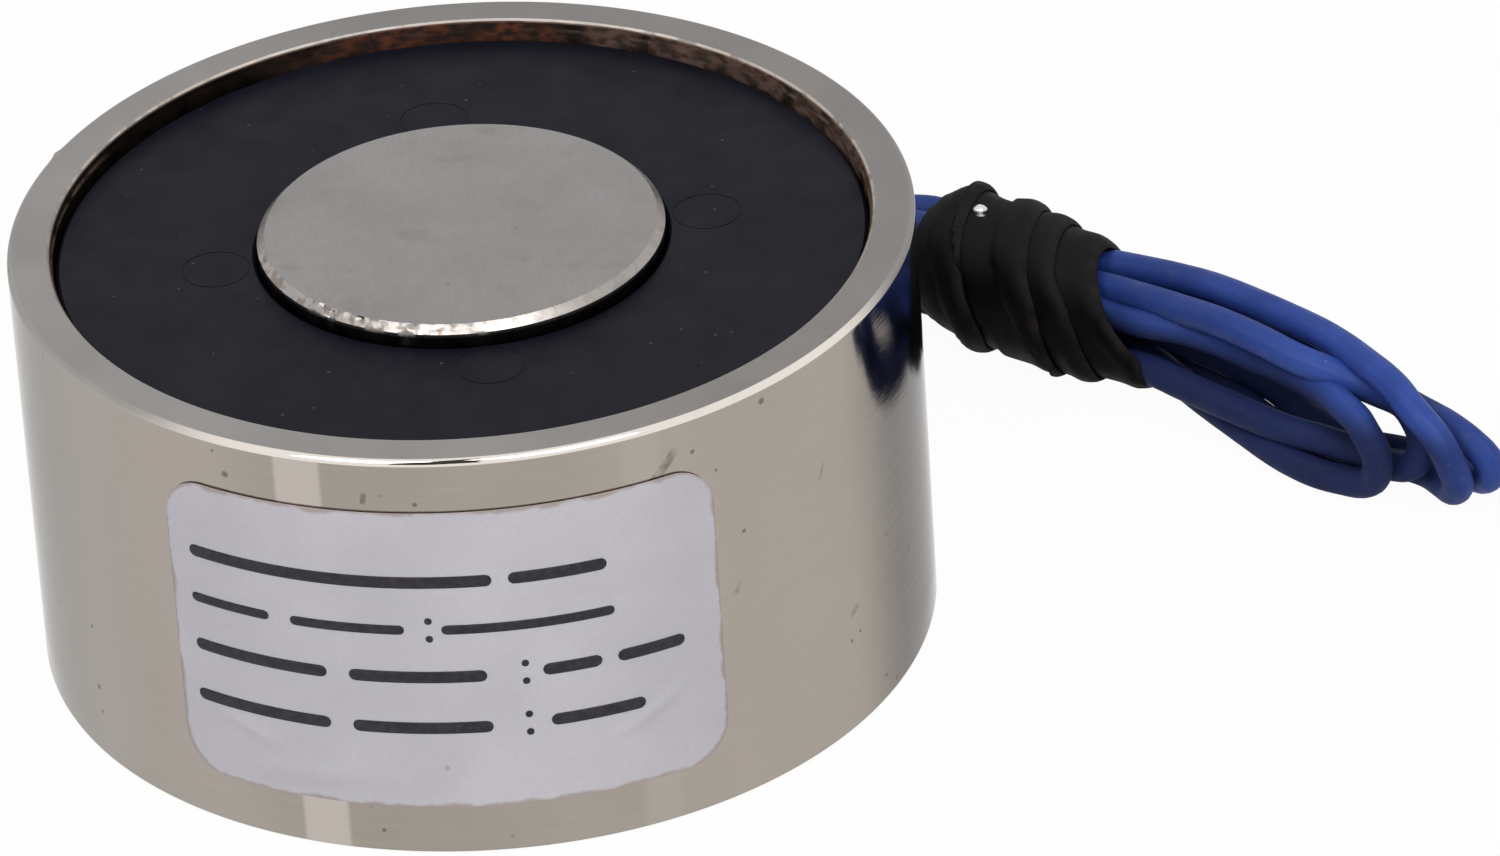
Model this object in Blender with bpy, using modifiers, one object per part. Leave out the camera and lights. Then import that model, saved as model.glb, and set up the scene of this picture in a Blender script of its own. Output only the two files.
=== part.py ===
"""Holding electromagnet, 40 mm across and 20 mm high.

A nickel-plated steel cup holds a plastic bobbin with its winding round a steel pole
core. The core is pressed through the cup's base and tapped from behind. Two insulated
leads are spliced to the winding inside the cup, leave through a sealed hole in the wall
and are folded into a hank that is held by a few turns of tape.

Units are metres and +Z is up. The origin is the centre of the cup's underside, and the
label faces -Y.
"""
import math

import bmesh
import bpy
from mathutils import Vector

# Steel cup
CUP_DIAMETER = 0.0400
CUP_HEIGHT = 0.0200
CUP_WALL = 0.0020
CUP_BASE = 0.0040
RIM_ROUND = 0.0004
RIM_CHAMFER = 0.00025
RIM_STEP = 0.0001
RIM_STEP_DEPTH = 0.0005
FOOT_CHAMFER = 0.0004
CORNER_ROUND = 0.0005

# Pole core and its pressed spigot
POLE_SHARE = 0.45
POLE_DIAMETER = CUP_DIAMETER * POLE_SHARE
POLE_CHAMFER = 0.0003
SPIGOT_DIAMETER = 0.0100
SPIGOT_RECESS = 0.0001
SPIGOT_CHAMFER = 0.0003
TAPPED_BORE = 0.0042
TAPPED_DEPTH = 0.0090
TAPPED_MOUTH = 0.0054
DRILL_POINT_ANGLE = 118.0

# Bobbin
FACE_RECESS = 0.0009
FLANGE_THICKNESS = 0.0009
HUB_WALL = 0.0009
FLANGE_CHAMFER = 0.00015
EJECTOR_MARK_DIAMETER = 0.0029
EJECTOR_MARK_DEPTH = 0.00008
EJECTOR_MARK_SETBACK = 0.0022
EJECTOR_MARKS = 4
TAIL_SLOT_WIDTH = 0.0012

# Winding, its wrap and its two tails
WINDING_ROUND = 0.0004
WRAP_THICKNESS = 0.0002
WRAP_RAISE = 0.0013
TAIL_DIAMETER = 0.0004

# Splices between tails and leads
SLEEVE_LENGTH = 0.0060
SLEEVE_WALL = 0.0002
SLEEVE_START = 0.0030
SOLDER_DIAMETER = 0.0009
LEAD_IN_SLEEVE = 0.0015
TAIL_IN_SLEEVE = 0.0015

# Leads and the hole they leave by
LEAD_DIAMETER = 0.0014
LEAD_PITCH = 0.0017
LEAD_RISE = 0.0016
EXIT_ANGLE = 112.0
EXIT_WALL = 0.00065
SEAL_PROUD = 0.00015
SEAL_ROUND = 0.00015

# Hank, its tape and the bare ends
TAPE_LENGTH = 0.0110
TAPE_WALL_LEFT = 0.00085
TAPE_WALL_RIGHT = 0.00045
TAPE_TURNS = 6
TAPE_TURN_STEP = 0.00012
TIP_DIAMETER = 0.0010
TIP_PROUD = 0.0005

# Label
LABEL_WIDTH = 0.0256
LABEL_HEIGHT = 0.0149
LABEL_CORNER = 0.0020
LABEL_THICKNESS = 0.0001
LABEL_CENTRE_HEIGHT = 0.0100
LABEL_ANGLE = -6.9

# Clearances
PRESS_GAP = 0.00005
SEAT_GAP = 0.0001
FIT_GAP = 0.0001
WIRE_GAP = 0.00007
CHANNEL_GAP = 0.00015
MEET_GAP = 0.0003

# Fineness of the round shapes
TURN_STEPS = 72
SMALL_STEPS = 24
ROUND_STEPS = 3
STRIP_WIDTH = 0.0011

# The free run of the leads, midway between the two, from outside the wall to the hank.
LEAD_ROUTE = [
    (-0.0094, 0.0260, 0.0048),
    (-0.0081, 0.0286, 0.0031),
    (-0.0055, 0.0306, 0.0017),
    (-0.0020, 0.0316, 0.0010),
    (0.0018, 0.0315, 0.0010),
    (0.0054, 0.0302, 0.0010),
    (0.0087, 0.0283, 0.0011),
]

# The hank's middle line as it lies, and half its thickness there.
HANK_LINE = [
    ((0.01215, 0.02615, 0.00200), 0.00150),
    ((0.01270, 0.02581, 0.00220), 0.00200),
    ((0.01380, 0.02514, 0.00290), 0.00275),
    ((0.01600, 0.02380, 0.00300), 0.00285),
    ((0.01850, 0.02228, 0.00325), 0.00265),
    ((0.02090, 0.02080, 0.00352), 0.00245),
    ((0.03070, 0.01480, 0.00312), 0.00245),
    ((0.03210, 0.01370, 0.00308), 0.00260),
    ((0.03420, 0.01170, 0.00315), 0.00290),
    ((0.03740, 0.00830, 0.00345), 0.00335),
    ((0.04060, 0.00480, 0.00345), 0.00330),
    ((0.04330, 0.00180, 0.00300), 0.00285),
    ((0.04500, -0.00010, 0.00250), 0.00220),
    ((0.04555, -0.00070, 0.00230), 0.00120),
]
TAPE_FROM = 5
TAPE_TO = 6

# Where each bare end comes out: its way along the tape and its turn away from the top.
TIP_PLACES = {"a": (0.0036, 0.0), "b": (0.0075, 105.0)}

# Radii and heights that follow from the sizes above.
CUP_RADIUS = CUP_DIAMETER / 2
BORE_RADIUS = CUP_RADIUS - CUP_WALL
POLE_RADIUS = POLE_DIAMETER / 2
SPIGOT_RADIUS = SPIGOT_DIAMETER / 2
LEAD_RADIUS = LEAD_DIAMETER / 2
TAIL_RADIUS = TAIL_DIAMETER / 2
SLEEVE_BORE = LEAD_RADIUS + FIT_GAP
SLEEVE_RADIUS = SLEEVE_BORE + SLEEVE_WALL
SPLICE_RADIUS = math.sqrt((BORE_RADIUS - CHANNEL_GAP) ** 2 - (SLEEVE_LENGTH / 2) ** 2) - SLEEVE_RADIUS
WRAP_RADIUS = SPLICE_RADIUS - SLEEVE_RADIUS - CHANNEL_GAP
WINDING_RADIUS = WRAP_RADIUS - WRAP_THICKNESS - PRESS_GAP
HUB_BORE = POLE_RADIUS + FIT_GAP
HUB_RADIUS = HUB_BORE + HUB_WALL
FACE_HEIGHT = CUP_HEIGHT - FACE_RECESS
TOP_FLANGE_FOOT = FACE_HEIGHT - FLANGE_THICKNESS
FLOOR_FLANGE_FOOT = CUP_BASE + SEAT_GAP
FLOOR_FLANGE_TOP = FLOOR_FLANGE_FOOT + FLANGE_THICKNESS
LEAD_HEIGHT = FLOOR_FLANGE_TOP + LEAD_RISE
EXIT_RADIUS = LEAD_PITCH / 2 + LEAD_RADIUS + EXIT_WALL
SEAL_INNER = BORE_RADIUS + FIT_GAP
SEAL_OUTER = CUP_RADIUS + SEAL_PROUD
SLEEVE_TURN = (math.asin(SLEEVE_START / math.hypot(SPLICE_RADIUS, SLEEVE_LENGTH / 2))
               + math.atan2(SLEEVE_LENGTH / 2, SPLICE_RADIUS))
TAPE_BORE = HANK_LINE[TAPE_FROM][1] + FIT_GAP


def clear_scene():
    for obj in list(bpy.data.objects):
        bpy.data.objects.remove(obj, do_unlink=True)


def make_collection(name):
    collection = bpy.data.collections.new(name)
    bpy.context.scene.collection.children.link(collection)
    return collection


def make_material(name, colour, roughness, metallic=0.0):
    material = bpy.data.materials.new(name)
    material.use_nodes = True
    shader = material.node_tree.nodes["Principled BSDF"]
    shader.inputs["Base Color"].default_value = (*colour, 1.0)
    shader.inputs["Roughness"].default_value = roughness
    shader.inputs["Metallic"].default_value = metallic
    return material


def add_object(name, data, collection, material=None):
    obj = bpy.data.objects.new(name, data)
    collection.objects.link(obj)
    if material is not None:
        data.materials.append(material)
    return obj


def arc(centre, radius, start, end, steps=ROUND_STEPS):
    """Points of an arc in a profile's plane, with its angles in degrees."""
    points = []
    for step in range(steps + 1):
        angle = math.radians(start + (end - start) * step / steps)
        points.append((centre[0] + radius * math.cos(angle), centre[1] + radius * math.sin(angle)))
    return points


def turned(name, profile, collection, material=None, closed=True, steps=TURN_STEPS):
    """Turn a profile of (radius, height) points about +Z."""
    count = len(profile)
    edges = [(index, index + 1) for index in range(count - 1)]
    if closed:
        edges.append((count - 1, 0))
    mesh = bpy.data.meshes.new(name)
    mesh.from_pydata([(radius, 0.0, height) for radius, height in profile], edges, [])
    obj = add_object(name, mesh, collection, material)
    screw = obj.modifiers.new("turn", "SCREW")
    screw.axis = "Z"
    screw.steps = steps
    screw.render_steps = steps
    screw.use_merge_vertices = True
    screw.merge_threshold = 0.000005
    screw.use_smooth_shade = True
    return obj


def cylinder_cutter(name, radius, length, collection, steps=SMALL_STEPS):
    """A cylinder on +Z, centred on its origin, that other pieces are cut by."""
    mesh = bpy.data.meshes.new(name)
    shape = bmesh.new()
    bmesh.ops.create_cone(shape, cap_ends=True, segments=steps, radius1=radius, radius2=radius, depth=length)
    shape.to_mesh(mesh)
    shape.free()
    return mark_cutter(add_object(name, mesh, collection))


def box_cutter(name, size, collection):
    mesh = bpy.data.meshes.new(name)
    shape = bmesh.new()
    bmesh.ops.create_cube(shape, size=1.0)
    bmesh.ops.scale(shape, vec=size, verts=shape.verts)
    shape.to_mesh(mesh)
    shape.free()
    return mark_cutter(add_object(name, mesh, collection))


def mark_cutter(obj):
    obj.hide_render = True
    obj.display_type = "WIRE"
    return obj


def cut(obj, cutter):
    boolean = obj.modifiers.new("cut_" + cutter.name, "BOOLEAN")
    boolean.operation = "DIFFERENCE"
    boolean.object = cutter


def aim(obj, location, direction):
    """Put an object at a place with its own +Z along a direction."""
    obj.location = location
    obj.rotation_mode = "QUATERNION"
    obj.rotation_quaternion = Vector(direction).to_track_quat("Z", "Y")


def polar(radius, angle, height):
    return Vector((radius * math.cos(angle), radius * math.sin(angle), height))


def smooth_route(points, spacing):
    """Even points on one smooth curve through the given ones."""
    points = [Vector(point) for point in points]
    ends = [points[0] * 2 - points[1]] + points + [points[-1] * 2 - points[-2]]
    fine = []
    for index in range(1, len(ends) - 2):
        before, start, end, after = ends[index - 1:index + 3]
        for step in range(16):
            t = step / 16
            fine.append(0.5 * (2 * start + (end - before) * t
                               + (2 * before - 5 * start + 4 * end - after) * t ** 2
                               + (3 * start - before - 3 * end + after) * t ** 3))
    fine.append(points[-1])
    length = sum((b - a).length for a, b in zip(fine, fine[1:]))
    count = max(2, round(length / spacing))
    result = [fine[0]]
    travelled = 0.0
    for a, b in zip(fine, fine[1:]):
        step = (b - a).length
        while len(result) < count and travelled + step >= len(result) * length / count:
            result.append(a.lerp(b, (len(result) * length / count - travelled) / step))
        travelled += step
    result.append(fine[-1])
    return result


def bend(start, start_way, end, end_way, steps=5):
    """A smooth bend between two places, leaving and arriving along two ways."""
    reach = (end - start).length * 0.4
    corner_a = start + start_way * reach
    corner_b = end - end_way * reach
    points = []
    for step in range(1, steps):
        t = step / steps
        points.append(start * (1 - t) ** 3 + corner_a * 3 * t * (1 - t) ** 2
                      + corner_b * 3 * t ** 2 * (1 - t) + end * t ** 3)
    return points


def tube(name, points, diameter, collection, material, radii=None):
    """A wire or other round bar along a line of points."""
    curve = bpy.data.curves.new(name, "CURVE")
    curve.dimensions = "3D"
    curve.bevel_depth = diameter / 2
    curve.bevel_resolution = 2 if radii is None else 4
    curve.use_fill_caps = True
    spline = curve.splines.new("POLY")
    spline.points.add(len(points) - 1)
    for index, point in enumerate(points):
        spline.points[index].co = (*point, 1.0)
        if radii is not None:
            spline.points[index].radius = radii[index] / (diameter / 2)
    spline.use_smooth = True
    return add_object(name, curve, collection, material)


def make_cup(parts, cutters, material):
    """The cup is turned from bar: base, wall, stepped rim and a hole for the spigot."""
    hole = SPIGOT_RADIUS + PRESS_GAP
    profile = [(BORE_RADIUS + RIM_STEP + RIM_CHAMFER, CUP_HEIGHT)]
    profile += arc((CUP_RADIUS - RIM_ROUND, CUP_HEIGHT - RIM_ROUND), RIM_ROUND, 90, 0)
    profile += [(CUP_RADIUS, FOOT_CHAMFER), (CUP_RADIUS - FOOT_CHAMFER, 0.0)]
    profile += [(hole + SPIGOT_CHAMFER, 0.0), (hole, SPIGOT_CHAMFER), (hole, CUP_BASE)]
    profile += arc((BORE_RADIUS - CORNER_ROUND, CUP_BASE + CORNER_ROUND), CORNER_ROUND, -90, 0)
    profile += [(BORE_RADIUS, CUP_HEIGHT - RIM_STEP_DEPTH)]
    profile += [(BORE_RADIUS + RIM_STEP, CUP_HEIGHT - RIM_STEP_DEPTH)]
    profile += [(BORE_RADIUS + RIM_STEP, CUP_HEIGHT - RIM_CHAMFER)]
    cup = turned("housing_cup", profile, parts, material)
    hole_cutter = cylinder_cutter("exit_hole", EXIT_RADIUS, CUP_WALL * 3, cutters)
    middle = CUP_RADIUS - CUP_WALL / 2
    outward = exit_way()
    aim(hole_cutter, outward * middle + Vector((0, 0, LEAD_HEIGHT)), outward)
    cut(cup, hole_cutter)


def make_core(parts, material):
    """The pole core stands on the base by its shoulder and is tapped from below."""
    tapped = TAPPED_BORE / 2
    mouth = TAPPED_MOUTH / 2
    point = tapped / math.tan(math.radians(DRILL_POINT_ANGLE / 2))
    profile = [(0.0, CUP_HEIGHT), (POLE_RADIUS - POLE_CHAMFER, CUP_HEIGHT)]
    profile += [(POLE_RADIUS, CUP_HEIGHT - POLE_CHAMFER), (POLE_RADIUS, CUP_BASE + SEAT_GAP)]
    profile += [(SPIGOT_RADIUS, CUP_BASE + SEAT_GAP), (SPIGOT_RADIUS, SPIGOT_RECESS + SPIGOT_CHAMFER)]
    profile += [(SPIGOT_RADIUS - SPIGOT_CHAMFER, SPIGOT_RECESS), (mouth, SPIGOT_RECESS)]
    profile += [(tapped, SPIGOT_RECESS + mouth - tapped), (tapped, TAPPED_DEPTH), (0.0, TAPPED_DEPTH + point)]
    turned("pole_core", profile, parts, material, closed=False)


def make_bobbin(parts, cutters, material):
    """The bobbin's top flange closes the cup, and its floor flange lets one tail in."""
    top_radius = BORE_RADIUS - FIT_GAP
    floor_radius = BORE_RADIUS - CORNER_ROUND - FIT_GAP
    profile = [(HUB_BORE + FLANGE_CHAMFER, FACE_HEIGHT), (top_radius - FLANGE_CHAMFER, FACE_HEIGHT)]
    profile += [(top_radius, FACE_HEIGHT - FLANGE_CHAMFER), (top_radius, TOP_FLANGE_FOOT)]
    profile += [(HUB_RADIUS, TOP_FLANGE_FOOT), (HUB_RADIUS, FLOOR_FLANGE_TOP)]
    profile += [(floor_radius, FLOOR_FLANGE_TOP), (floor_radius, FLOOR_FLANGE_FOOT)]
    profile += [(HUB_BORE, FLOOR_FLANGE_FOOT), (HUB_BORE, FACE_HEIGHT - FLANGE_CHAMFER)]
    bobbin = turned("coil_bobbin", profile, parts, material)
    for index in range(EJECTOR_MARKS):
        mark = cylinder_cutter("ejector_mark_%d" % index, EJECTOR_MARK_DIAMETER / 2,
                               EJECTOR_MARK_DEPTH * 2, cutters)
        turn = index * 2 * math.pi / EJECTOR_MARKS
        mark.location = polar(POLE_RADIUS + EJECTOR_MARK_SETBACK, turn, FACE_HEIGHT)
        cut(bobbin, mark)
    reach = floor_radius - HUB_RADIUS
    slot = box_cutter("tail_slot", (reach + FIT_GAP, TAIL_SLOT_WIDTH, FLANGE_THICKNESS * 2), cutters)
    slot.location = polar(HUB_RADIUS + (reach + FIT_GAP) / 2, slot_angle(), FLOOR_FLANGE_FOOT)
    slot.location.z += FLANGE_THICKNESS / 2
    slot.rotation_euler.z = slot_angle()
    cut(bobbin, slot)


def make_winding(parts, copper, film):
    """The winding fills the bobbin and is wrapped in insulating film."""
    inner = HUB_RADIUS + PRESS_GAP
    low = FLOOR_FLANGE_TOP + PRESS_GAP
    high = TOP_FLANGE_FOOT - PRESS_GAP
    profile = [(inner, high)]
    profile += arc((WINDING_RADIUS - WINDING_ROUND, high - WINDING_ROUND), WINDING_ROUND, 90, 0, 2)
    profile += arc((WINDING_RADIUS - WINDING_ROUND, low + WINDING_ROUND), WINDING_ROUND, 0, -90, 2)
    profile += [(inner, low)]
    turned("coil_winding", profile, parts, copper)
    wrap_foot = FLOOR_FLANGE_TOP + WRAP_RAISE
    wrap_head = TOP_FLANGE_FOOT - PRESS_GAP - WINDING_ROUND
    wrap_bore = WINDING_RADIUS + PRESS_GAP
    profile = [(wrap_bore, wrap_head), (WRAP_RADIUS, wrap_head), (WRAP_RADIUS, wrap_foot), (wrap_bore, wrap_foot)]
    turned("winding_wrap", profile, parts, film)


def exit_way():
    return polar(1.0, math.radians(EXIT_ANGLE), 0.0)


def slot_angle():
    """The slot lies a short way past the far end of the first splice."""
    past_end = math.atan2(SLEEVE_LENGTH / 2 + TAIL_IN_SLEEVE * 2, SPLICE_RADIUS)
    return math.radians(EXIT_ANGLE) + SLEEVE_TURN + past_end


def splice_frame(side):
    """Middle and direction of a splice: side is +1 for lead a and -1 for lead b."""
    angle = math.radians(EXIT_ANGLE) + side * SLEEVE_TURN
    middle = polar(SPLICE_RADIUS, angle, LEAD_HEIGHT)
    way = Vector((-math.sin(angle), math.cos(angle), 0.0)) * side
    return middle, way, angle


def make_splice(side, letter, parts, solder, sleeve):
    """A soldered joint inside a shrunk sleeve, lying between the wrap and the cup."""
    middle, way, _ = splice_frame(side)
    half = SLEEVE_LENGTH / 2
    profile = [(SLEEVE_BORE, half), (SLEEVE_RADIUS, half), (SLEEVE_RADIUS, -half), (SLEEVE_BORE, -half)]
    aim(turned("splice_sleeve_" + letter, profile, parts, sleeve, steps=SMALL_STEPS), middle, way)
    low = LEAD_IN_SLEEVE + FIT_GAP - half
    high = half - TAIL_IN_SLEEVE - FIT_GAP
    radius = SOLDER_DIAMETER / 2
    blunt = radius / 2
    profile = [(0.0, high)] + arc((radius - blunt, high - blunt), blunt, 90, 0, 2)
    profile += arc((radius - blunt, low + blunt), blunt, 0, -90, 2) + [(0.0, low)]
    aim(turned("solder_splice_" + letter, profile, parts, solder, closed=False, steps=SMALL_STEPS // 2),
        middle, way)


def make_start_tail(parts, material):
    """The inner end of the winding runs out under it, in the floor flange's slot."""
    middle, way, _ = splice_frame(1)
    end = middle + way * (SLEEVE_LENGTH / 2)
    slot_floor = FLOOR_FLANGE_FOOT + FLANGE_THICKNESS / 2
    above = FLOOR_FLANGE_TOP + TAIL_DIAMETER * 1.5
    angle = slot_angle()
    points = [end - way * TAIL_IN_SLEEVE, end, end + way * TAIL_DIAMETER * 2]
    points += [polar(SPLICE_RADIUS, angle - math.radians(3), above + TAIL_DIAMETER)]
    points += [polar(SPLICE_RADIUS - TAIL_DIAMETER, angle, above - TAIL_DIAMETER)]
    points += [polar(SPLICE_RADIUS - TAIL_DIAMETER * 3, angle, slot_floor)]
    points += [polar(HUB_RADIUS + TAIL_DIAMETER * 3, angle, slot_floor)]
    points += [polar(HUB_RADIUS + TAIL_DIAMETER, angle, FLOOR_FLANGE_TOP - TAIL_RADIUS)]
    tube("coil_start_tail", smooth_route(points, TAIL_DIAMETER * 2.5), TAIL_DIAMETER, parts, material)


def make_finish_tail(parts, material):
    """The outer end of the winding leaves it below the wrap's edge."""
    middle, way, angle = splice_frame(-1)
    end = middle + way * (SLEEVE_LENGTH / 2)
    rest_radius = WINDING_RADIUS + WIRE_GAP + TAIL_RADIUS
    rest_height = FLOOR_FLANGE_TOP + WRAP_RAISE / 2
    past_end = math.atan2(SLEEVE_LENGTH / 2, SPLICE_RADIUS)
    points = [end - way * TAIL_IN_SLEEVE, end, end + way * TAIL_DIAMETER * 2]
    for turn, share in ((10, 0.55), (18, 0.12), (24, 0.0), (31, 0.0)):
        points.append(polar(rest_radius + (SPLICE_RADIUS - rest_radius) * share,
                            angle - past_end - math.radians(turn),
                            rest_height + (LEAD_HEIGHT - rest_height) * share))
    tube("coil_finish_tail", smooth_route(points, TAIL_DIAMETER * 2.5), TAIL_DIAMETER, parts, material)


def make_seal(parts, cutters, material):
    """A cast plug fills the exit hole round the two leads."""
    length = SEAL_OUTER - SEAL_INNER
    radius = EXIT_RADIUS - PRESS_GAP
    profile = [(0.0, length)] + arc((radius - SEAL_ROUND, length - SEAL_ROUND), SEAL_ROUND, 90, 0, 2)
    profile += [(radius, 0.0), (0.0, 0.0)]
    seal = turned("exit_seal", profile, parts, material, closed=False, steps=SMALL_STEPS)
    outward = exit_way()
    start = outward * SEAL_INNER + Vector((0, 0, LEAD_HEIGHT))
    aim(seal, start, outward)
    for side, letter in ((1, "a"), (-1, "b")):
        bore = cylinder_cutter("lead_bore_" + letter, LEAD_RADIUS + WIRE_GAP, length * 3, cutters)
        aim(bore, start + outward * length / 2 + sideways(outward) * side * LEAD_PITCH / 2, outward)
        cut(seal, bore)


def sideways(way):
    """The level direction to the left of a way."""
    return Vector((-way.y, way.x, 0.0)).normalized()


def lead_points(side):
    """One lead's middle line, from its splice through the seal to the hank."""
    middle, splice_way, _ = splice_frame(side)
    half = SLEEVE_LENGTH / 2
    mouth = middle - splice_way * half
    outward = exit_way()
    shift = sideways(outward) * side * LEAD_PITCH / 2 + Vector((0, 0, LEAD_HEIGHT))
    at_seal = outward * BORE_RADIUS + shift
    points = [mouth + splice_way * LEAD_IN_SLEEVE, mouth]
    points += bend(mouth, -splice_way, at_seal, outward)
    points += [at_seal]

    hank_start = Vector(HANK_LINE[0][0])
    hank_way = (Vector(HANK_LINE[1][0]) - hank_start).normalized()
    mid = [outward * (SEAL_OUTER + LEAD_DIAMETER * turns) + Vector((0, 0, LEAD_HEIGHT)) for turns in (0, 1, 2)]
    mid[-1].z -= LEAD_RADIUS / 2
    mid += [Vector(point) for point in LEAD_ROUTE]
    mid += [hank_start - hank_way * (MEET_GAP + LEAD_DIAMETER), hank_start - hank_way * MEET_GAP]
    route = smooth_route(mid, LEAD_DIAMETER * 2)
    ways = [route[1] - route[0]] + [b - a for a, b in zip(route, route[2:])] + [route[-1] - route[-2]]
    points += [point + sideways(way) * side * LEAD_PITCH / 2 for point, way in zip(route, ways)]
    return points


def make_leads(parts, material):
    for side, letter in ((1, "a"), (-1, "b")):
        tube("lead_wire_" + letter, lead_points(side), LEAD_DIAMETER, parts, material)


def make_hank(parts, material):
    """The folded leads as one solid of their outer shape."""
    points = [point for point, _ in HANK_LINE]
    radii = [radius for _, radius in HANK_LINE]
    tube("lead_hank", points, max(radii) * 2, parts, material, radii=radii)


def tape_frame():
    """Start and direction of the straight stretch that the tape is wound on."""
    start = Vector(HANK_LINE[TAPE_FROM][0])
    end = Vector(HANK_LINE[TAPE_TO][0])
    way = (end - start).normalized()
    return start + way * ((end - start).length - TAPE_LENGTH) / 2, way


def tape_radius(along):
    """The winding of tape is thickest where it begins."""
    share = along / TAPE_LENGTH
    return TAPE_BORE + TAPE_WALL_LEFT + (TAPE_WALL_RIGHT - TAPE_WALL_LEFT) * share


def tip_frame(letter):
    """Foot and direction of a bare end that stands out between two turns of the tape."""
    along, turn = TIP_PLACES[letter]
    start, way = tape_frame()
    level = sideways(way)
    upright = way.cross(level)
    if upright.z < 0:
        upright = -upright
    angle = math.radians(turn)
    out = upright * math.cos(angle) + level * math.sin(angle)
    return start + way * along, out, tape_radius(along)


def make_tape(parts, cutters, material):
    """Turns of tape as one sleeve with a ridge for each turn."""
    turn = TAPE_LENGTH / TAPE_TURNS
    profile = [(TAPE_BORE, TAPE_LENGTH)]
    for index in reversed(range(TAPE_TURNS)):
        radius = tape_radius((index + 0.5) * turn)
        profile += [(radius - TAPE_TURN_STEP, (index + 1) * turn), (radius, (index + 0.7) * turn)]
        profile += [(radius, (index + 0.2) * turn)]
    profile += [(tape_radius(0.0) - TAPE_TURN_STEP, 0.0), (TAPE_BORE, 0.0)]
    tape = turned("hank_tape", profile, parts, material, steps=SMALL_STEPS)
    start, way = tape_frame()
    aim(tape, start, way)
    for letter in TIP_PLACES:
        foot, out, radius = tip_frame(letter)
        hole = cylinder_cutter("tip_hole_" + letter, TIP_DIAMETER / 2 + WIRE_GAP, radius, cutters)
        aim(hole, foot + out * radius, out)
        cut(tape, hole)


def make_tips(parts, material):
    """The tinned ends of the leads."""
    for letter in TIP_PLACES:
        foot, out, radius = tip_frame(letter)
        tip_radius = TIP_DIAMETER / 2
        blunt = tip_radius / 2
        length = radius + TIP_PROUD - TAPE_BORE
        profile = [(0.0, length)] + arc((tip_radius - blunt, length - blunt), blunt, 90, 0, 2)
        profile += [(tip_radius, 0.0), (0.0, 0.0)]
        tip = turned("lead_tip_" + letter, profile, parts, material, closed=False, steps=SMALL_STEPS // 2)
        aim(tip, foot + out * TAPE_BORE, out)


def make_label(parts, material):
    """A flat rounded sheet, cut into strips and rolled onto the cup's wall."""
    half_width = LABEL_WIDTH / 2 - LABEL_CORNER
    half_height = LABEL_HEIGHT / 2 - LABEL_CORNER
    outline = []
    for side_x, side_z, start in ((1, 1, 90), (1, -1, 0), (-1, -1, -90), (-1, 1, -180)):
        outline += arc((side_x * half_width, side_z * half_height), LABEL_CORNER, start, start - 90)
    shape = bmesh.new()
    shape.faces.new([shape.verts.new((x, 0.0, z)) for x, z in outline])
    strips = math.ceil(LABEL_WIDTH / STRIP_WIDTH)
    for strip in range(1, strips):
        place = (strip / strips - 0.5) * LABEL_WIDTH
        everything = shape.verts[:] + shape.edges[:] + shape.faces[:]
        bmesh.ops.bisect_plane(shape, geom=everything, plane_co=(place, 0, 0), plane_no=(1, 0, 0))
    radius = CUP_RADIUS + PRESS_GAP
    for vert in shape.verts:
        angle = math.radians(LABEL_ANGLE) + vert.co.x / radius
        height = LABEL_CENTRE_HEIGHT + vert.co.z
        vert.co = (radius * math.sin(angle), -radius * math.cos(angle), height)
    shape.normal_update()
    if shape.faces[:][0].normal.y > 0:
        bmesh.ops.reverse_faces(shape, faces=shape.faces)
    mesh = bpy.data.meshes.new("rating_label")
    shape.to_mesh(mesh)
    shape.free()
    label = add_object("rating_label", mesh, parts, material)
    solidify = label.modifiers.new("paper", "SOLIDIFY")
    solidify.thickness = LABEL_THICKNESS
    solidify.offset = 1.0


def main():
    clear_scene()
    parts = make_collection("holding_electromagnet")
    cutters = make_collection("cutters")

    nickel = make_material("nickel_plate", (0.55, 0.52, 0.48), 0.18, 1.0)
    plastic = make_material("bobbin_plastic", (0.02, 0.02, 0.025), 0.38)
    copper = make_material("enamelled_copper", (0.55, 0.20, 0.07), 0.30, 1.0)
    film = make_material("insulating_film", (0.75, 0.50, 0.10), 0.35)
    solder = make_material("solder", (0.65, 0.65, 0.66), 0.28, 1.0)
    sleeve = make_material("shrink_sleeve", (0.03, 0.03, 0.03), 0.45)
    resin = make_material("seal_resin", (0.02, 0.02, 0.02), 0.30)
    insulation = make_material("lead_insulation", (0.03, 0.06, 0.30), 0.40)
    tape = make_material("hank_tape", (0.02, 0.02, 0.02), 0.50)
    paper = make_material("label_paper", (0.62, 0.61, 0.66), 0.55)

    make_cup(parts, cutters, nickel)
    make_core(parts, nickel)
    make_bobbin(parts, cutters, plastic)
    make_winding(parts, copper, film)
    for side, letter in ((1, "a"), (-1, "b")):
        make_splice(side, letter, parts, solder, sleeve)
    make_start_tail(parts, copper)
    make_finish_tail(parts, copper)
    make_seal(parts, cutters, resin)
    make_leads(parts, insulation)
    make_hank(parts, insulation)
    make_tape(parts, cutters, tape)
    make_tips(parts, solder)
    make_label(parts, paper)


main()
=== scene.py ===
# Looks of a round holding electromagnet: the steel cup with its pole, bobbin and label,
# and the two blue leads that are folded into a taped hank.
# Lengths are metres and +Z is up. The label faces -Y.
import math

import bmesh
import bpy
from mathutils import Matrix, Vector, noise


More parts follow.
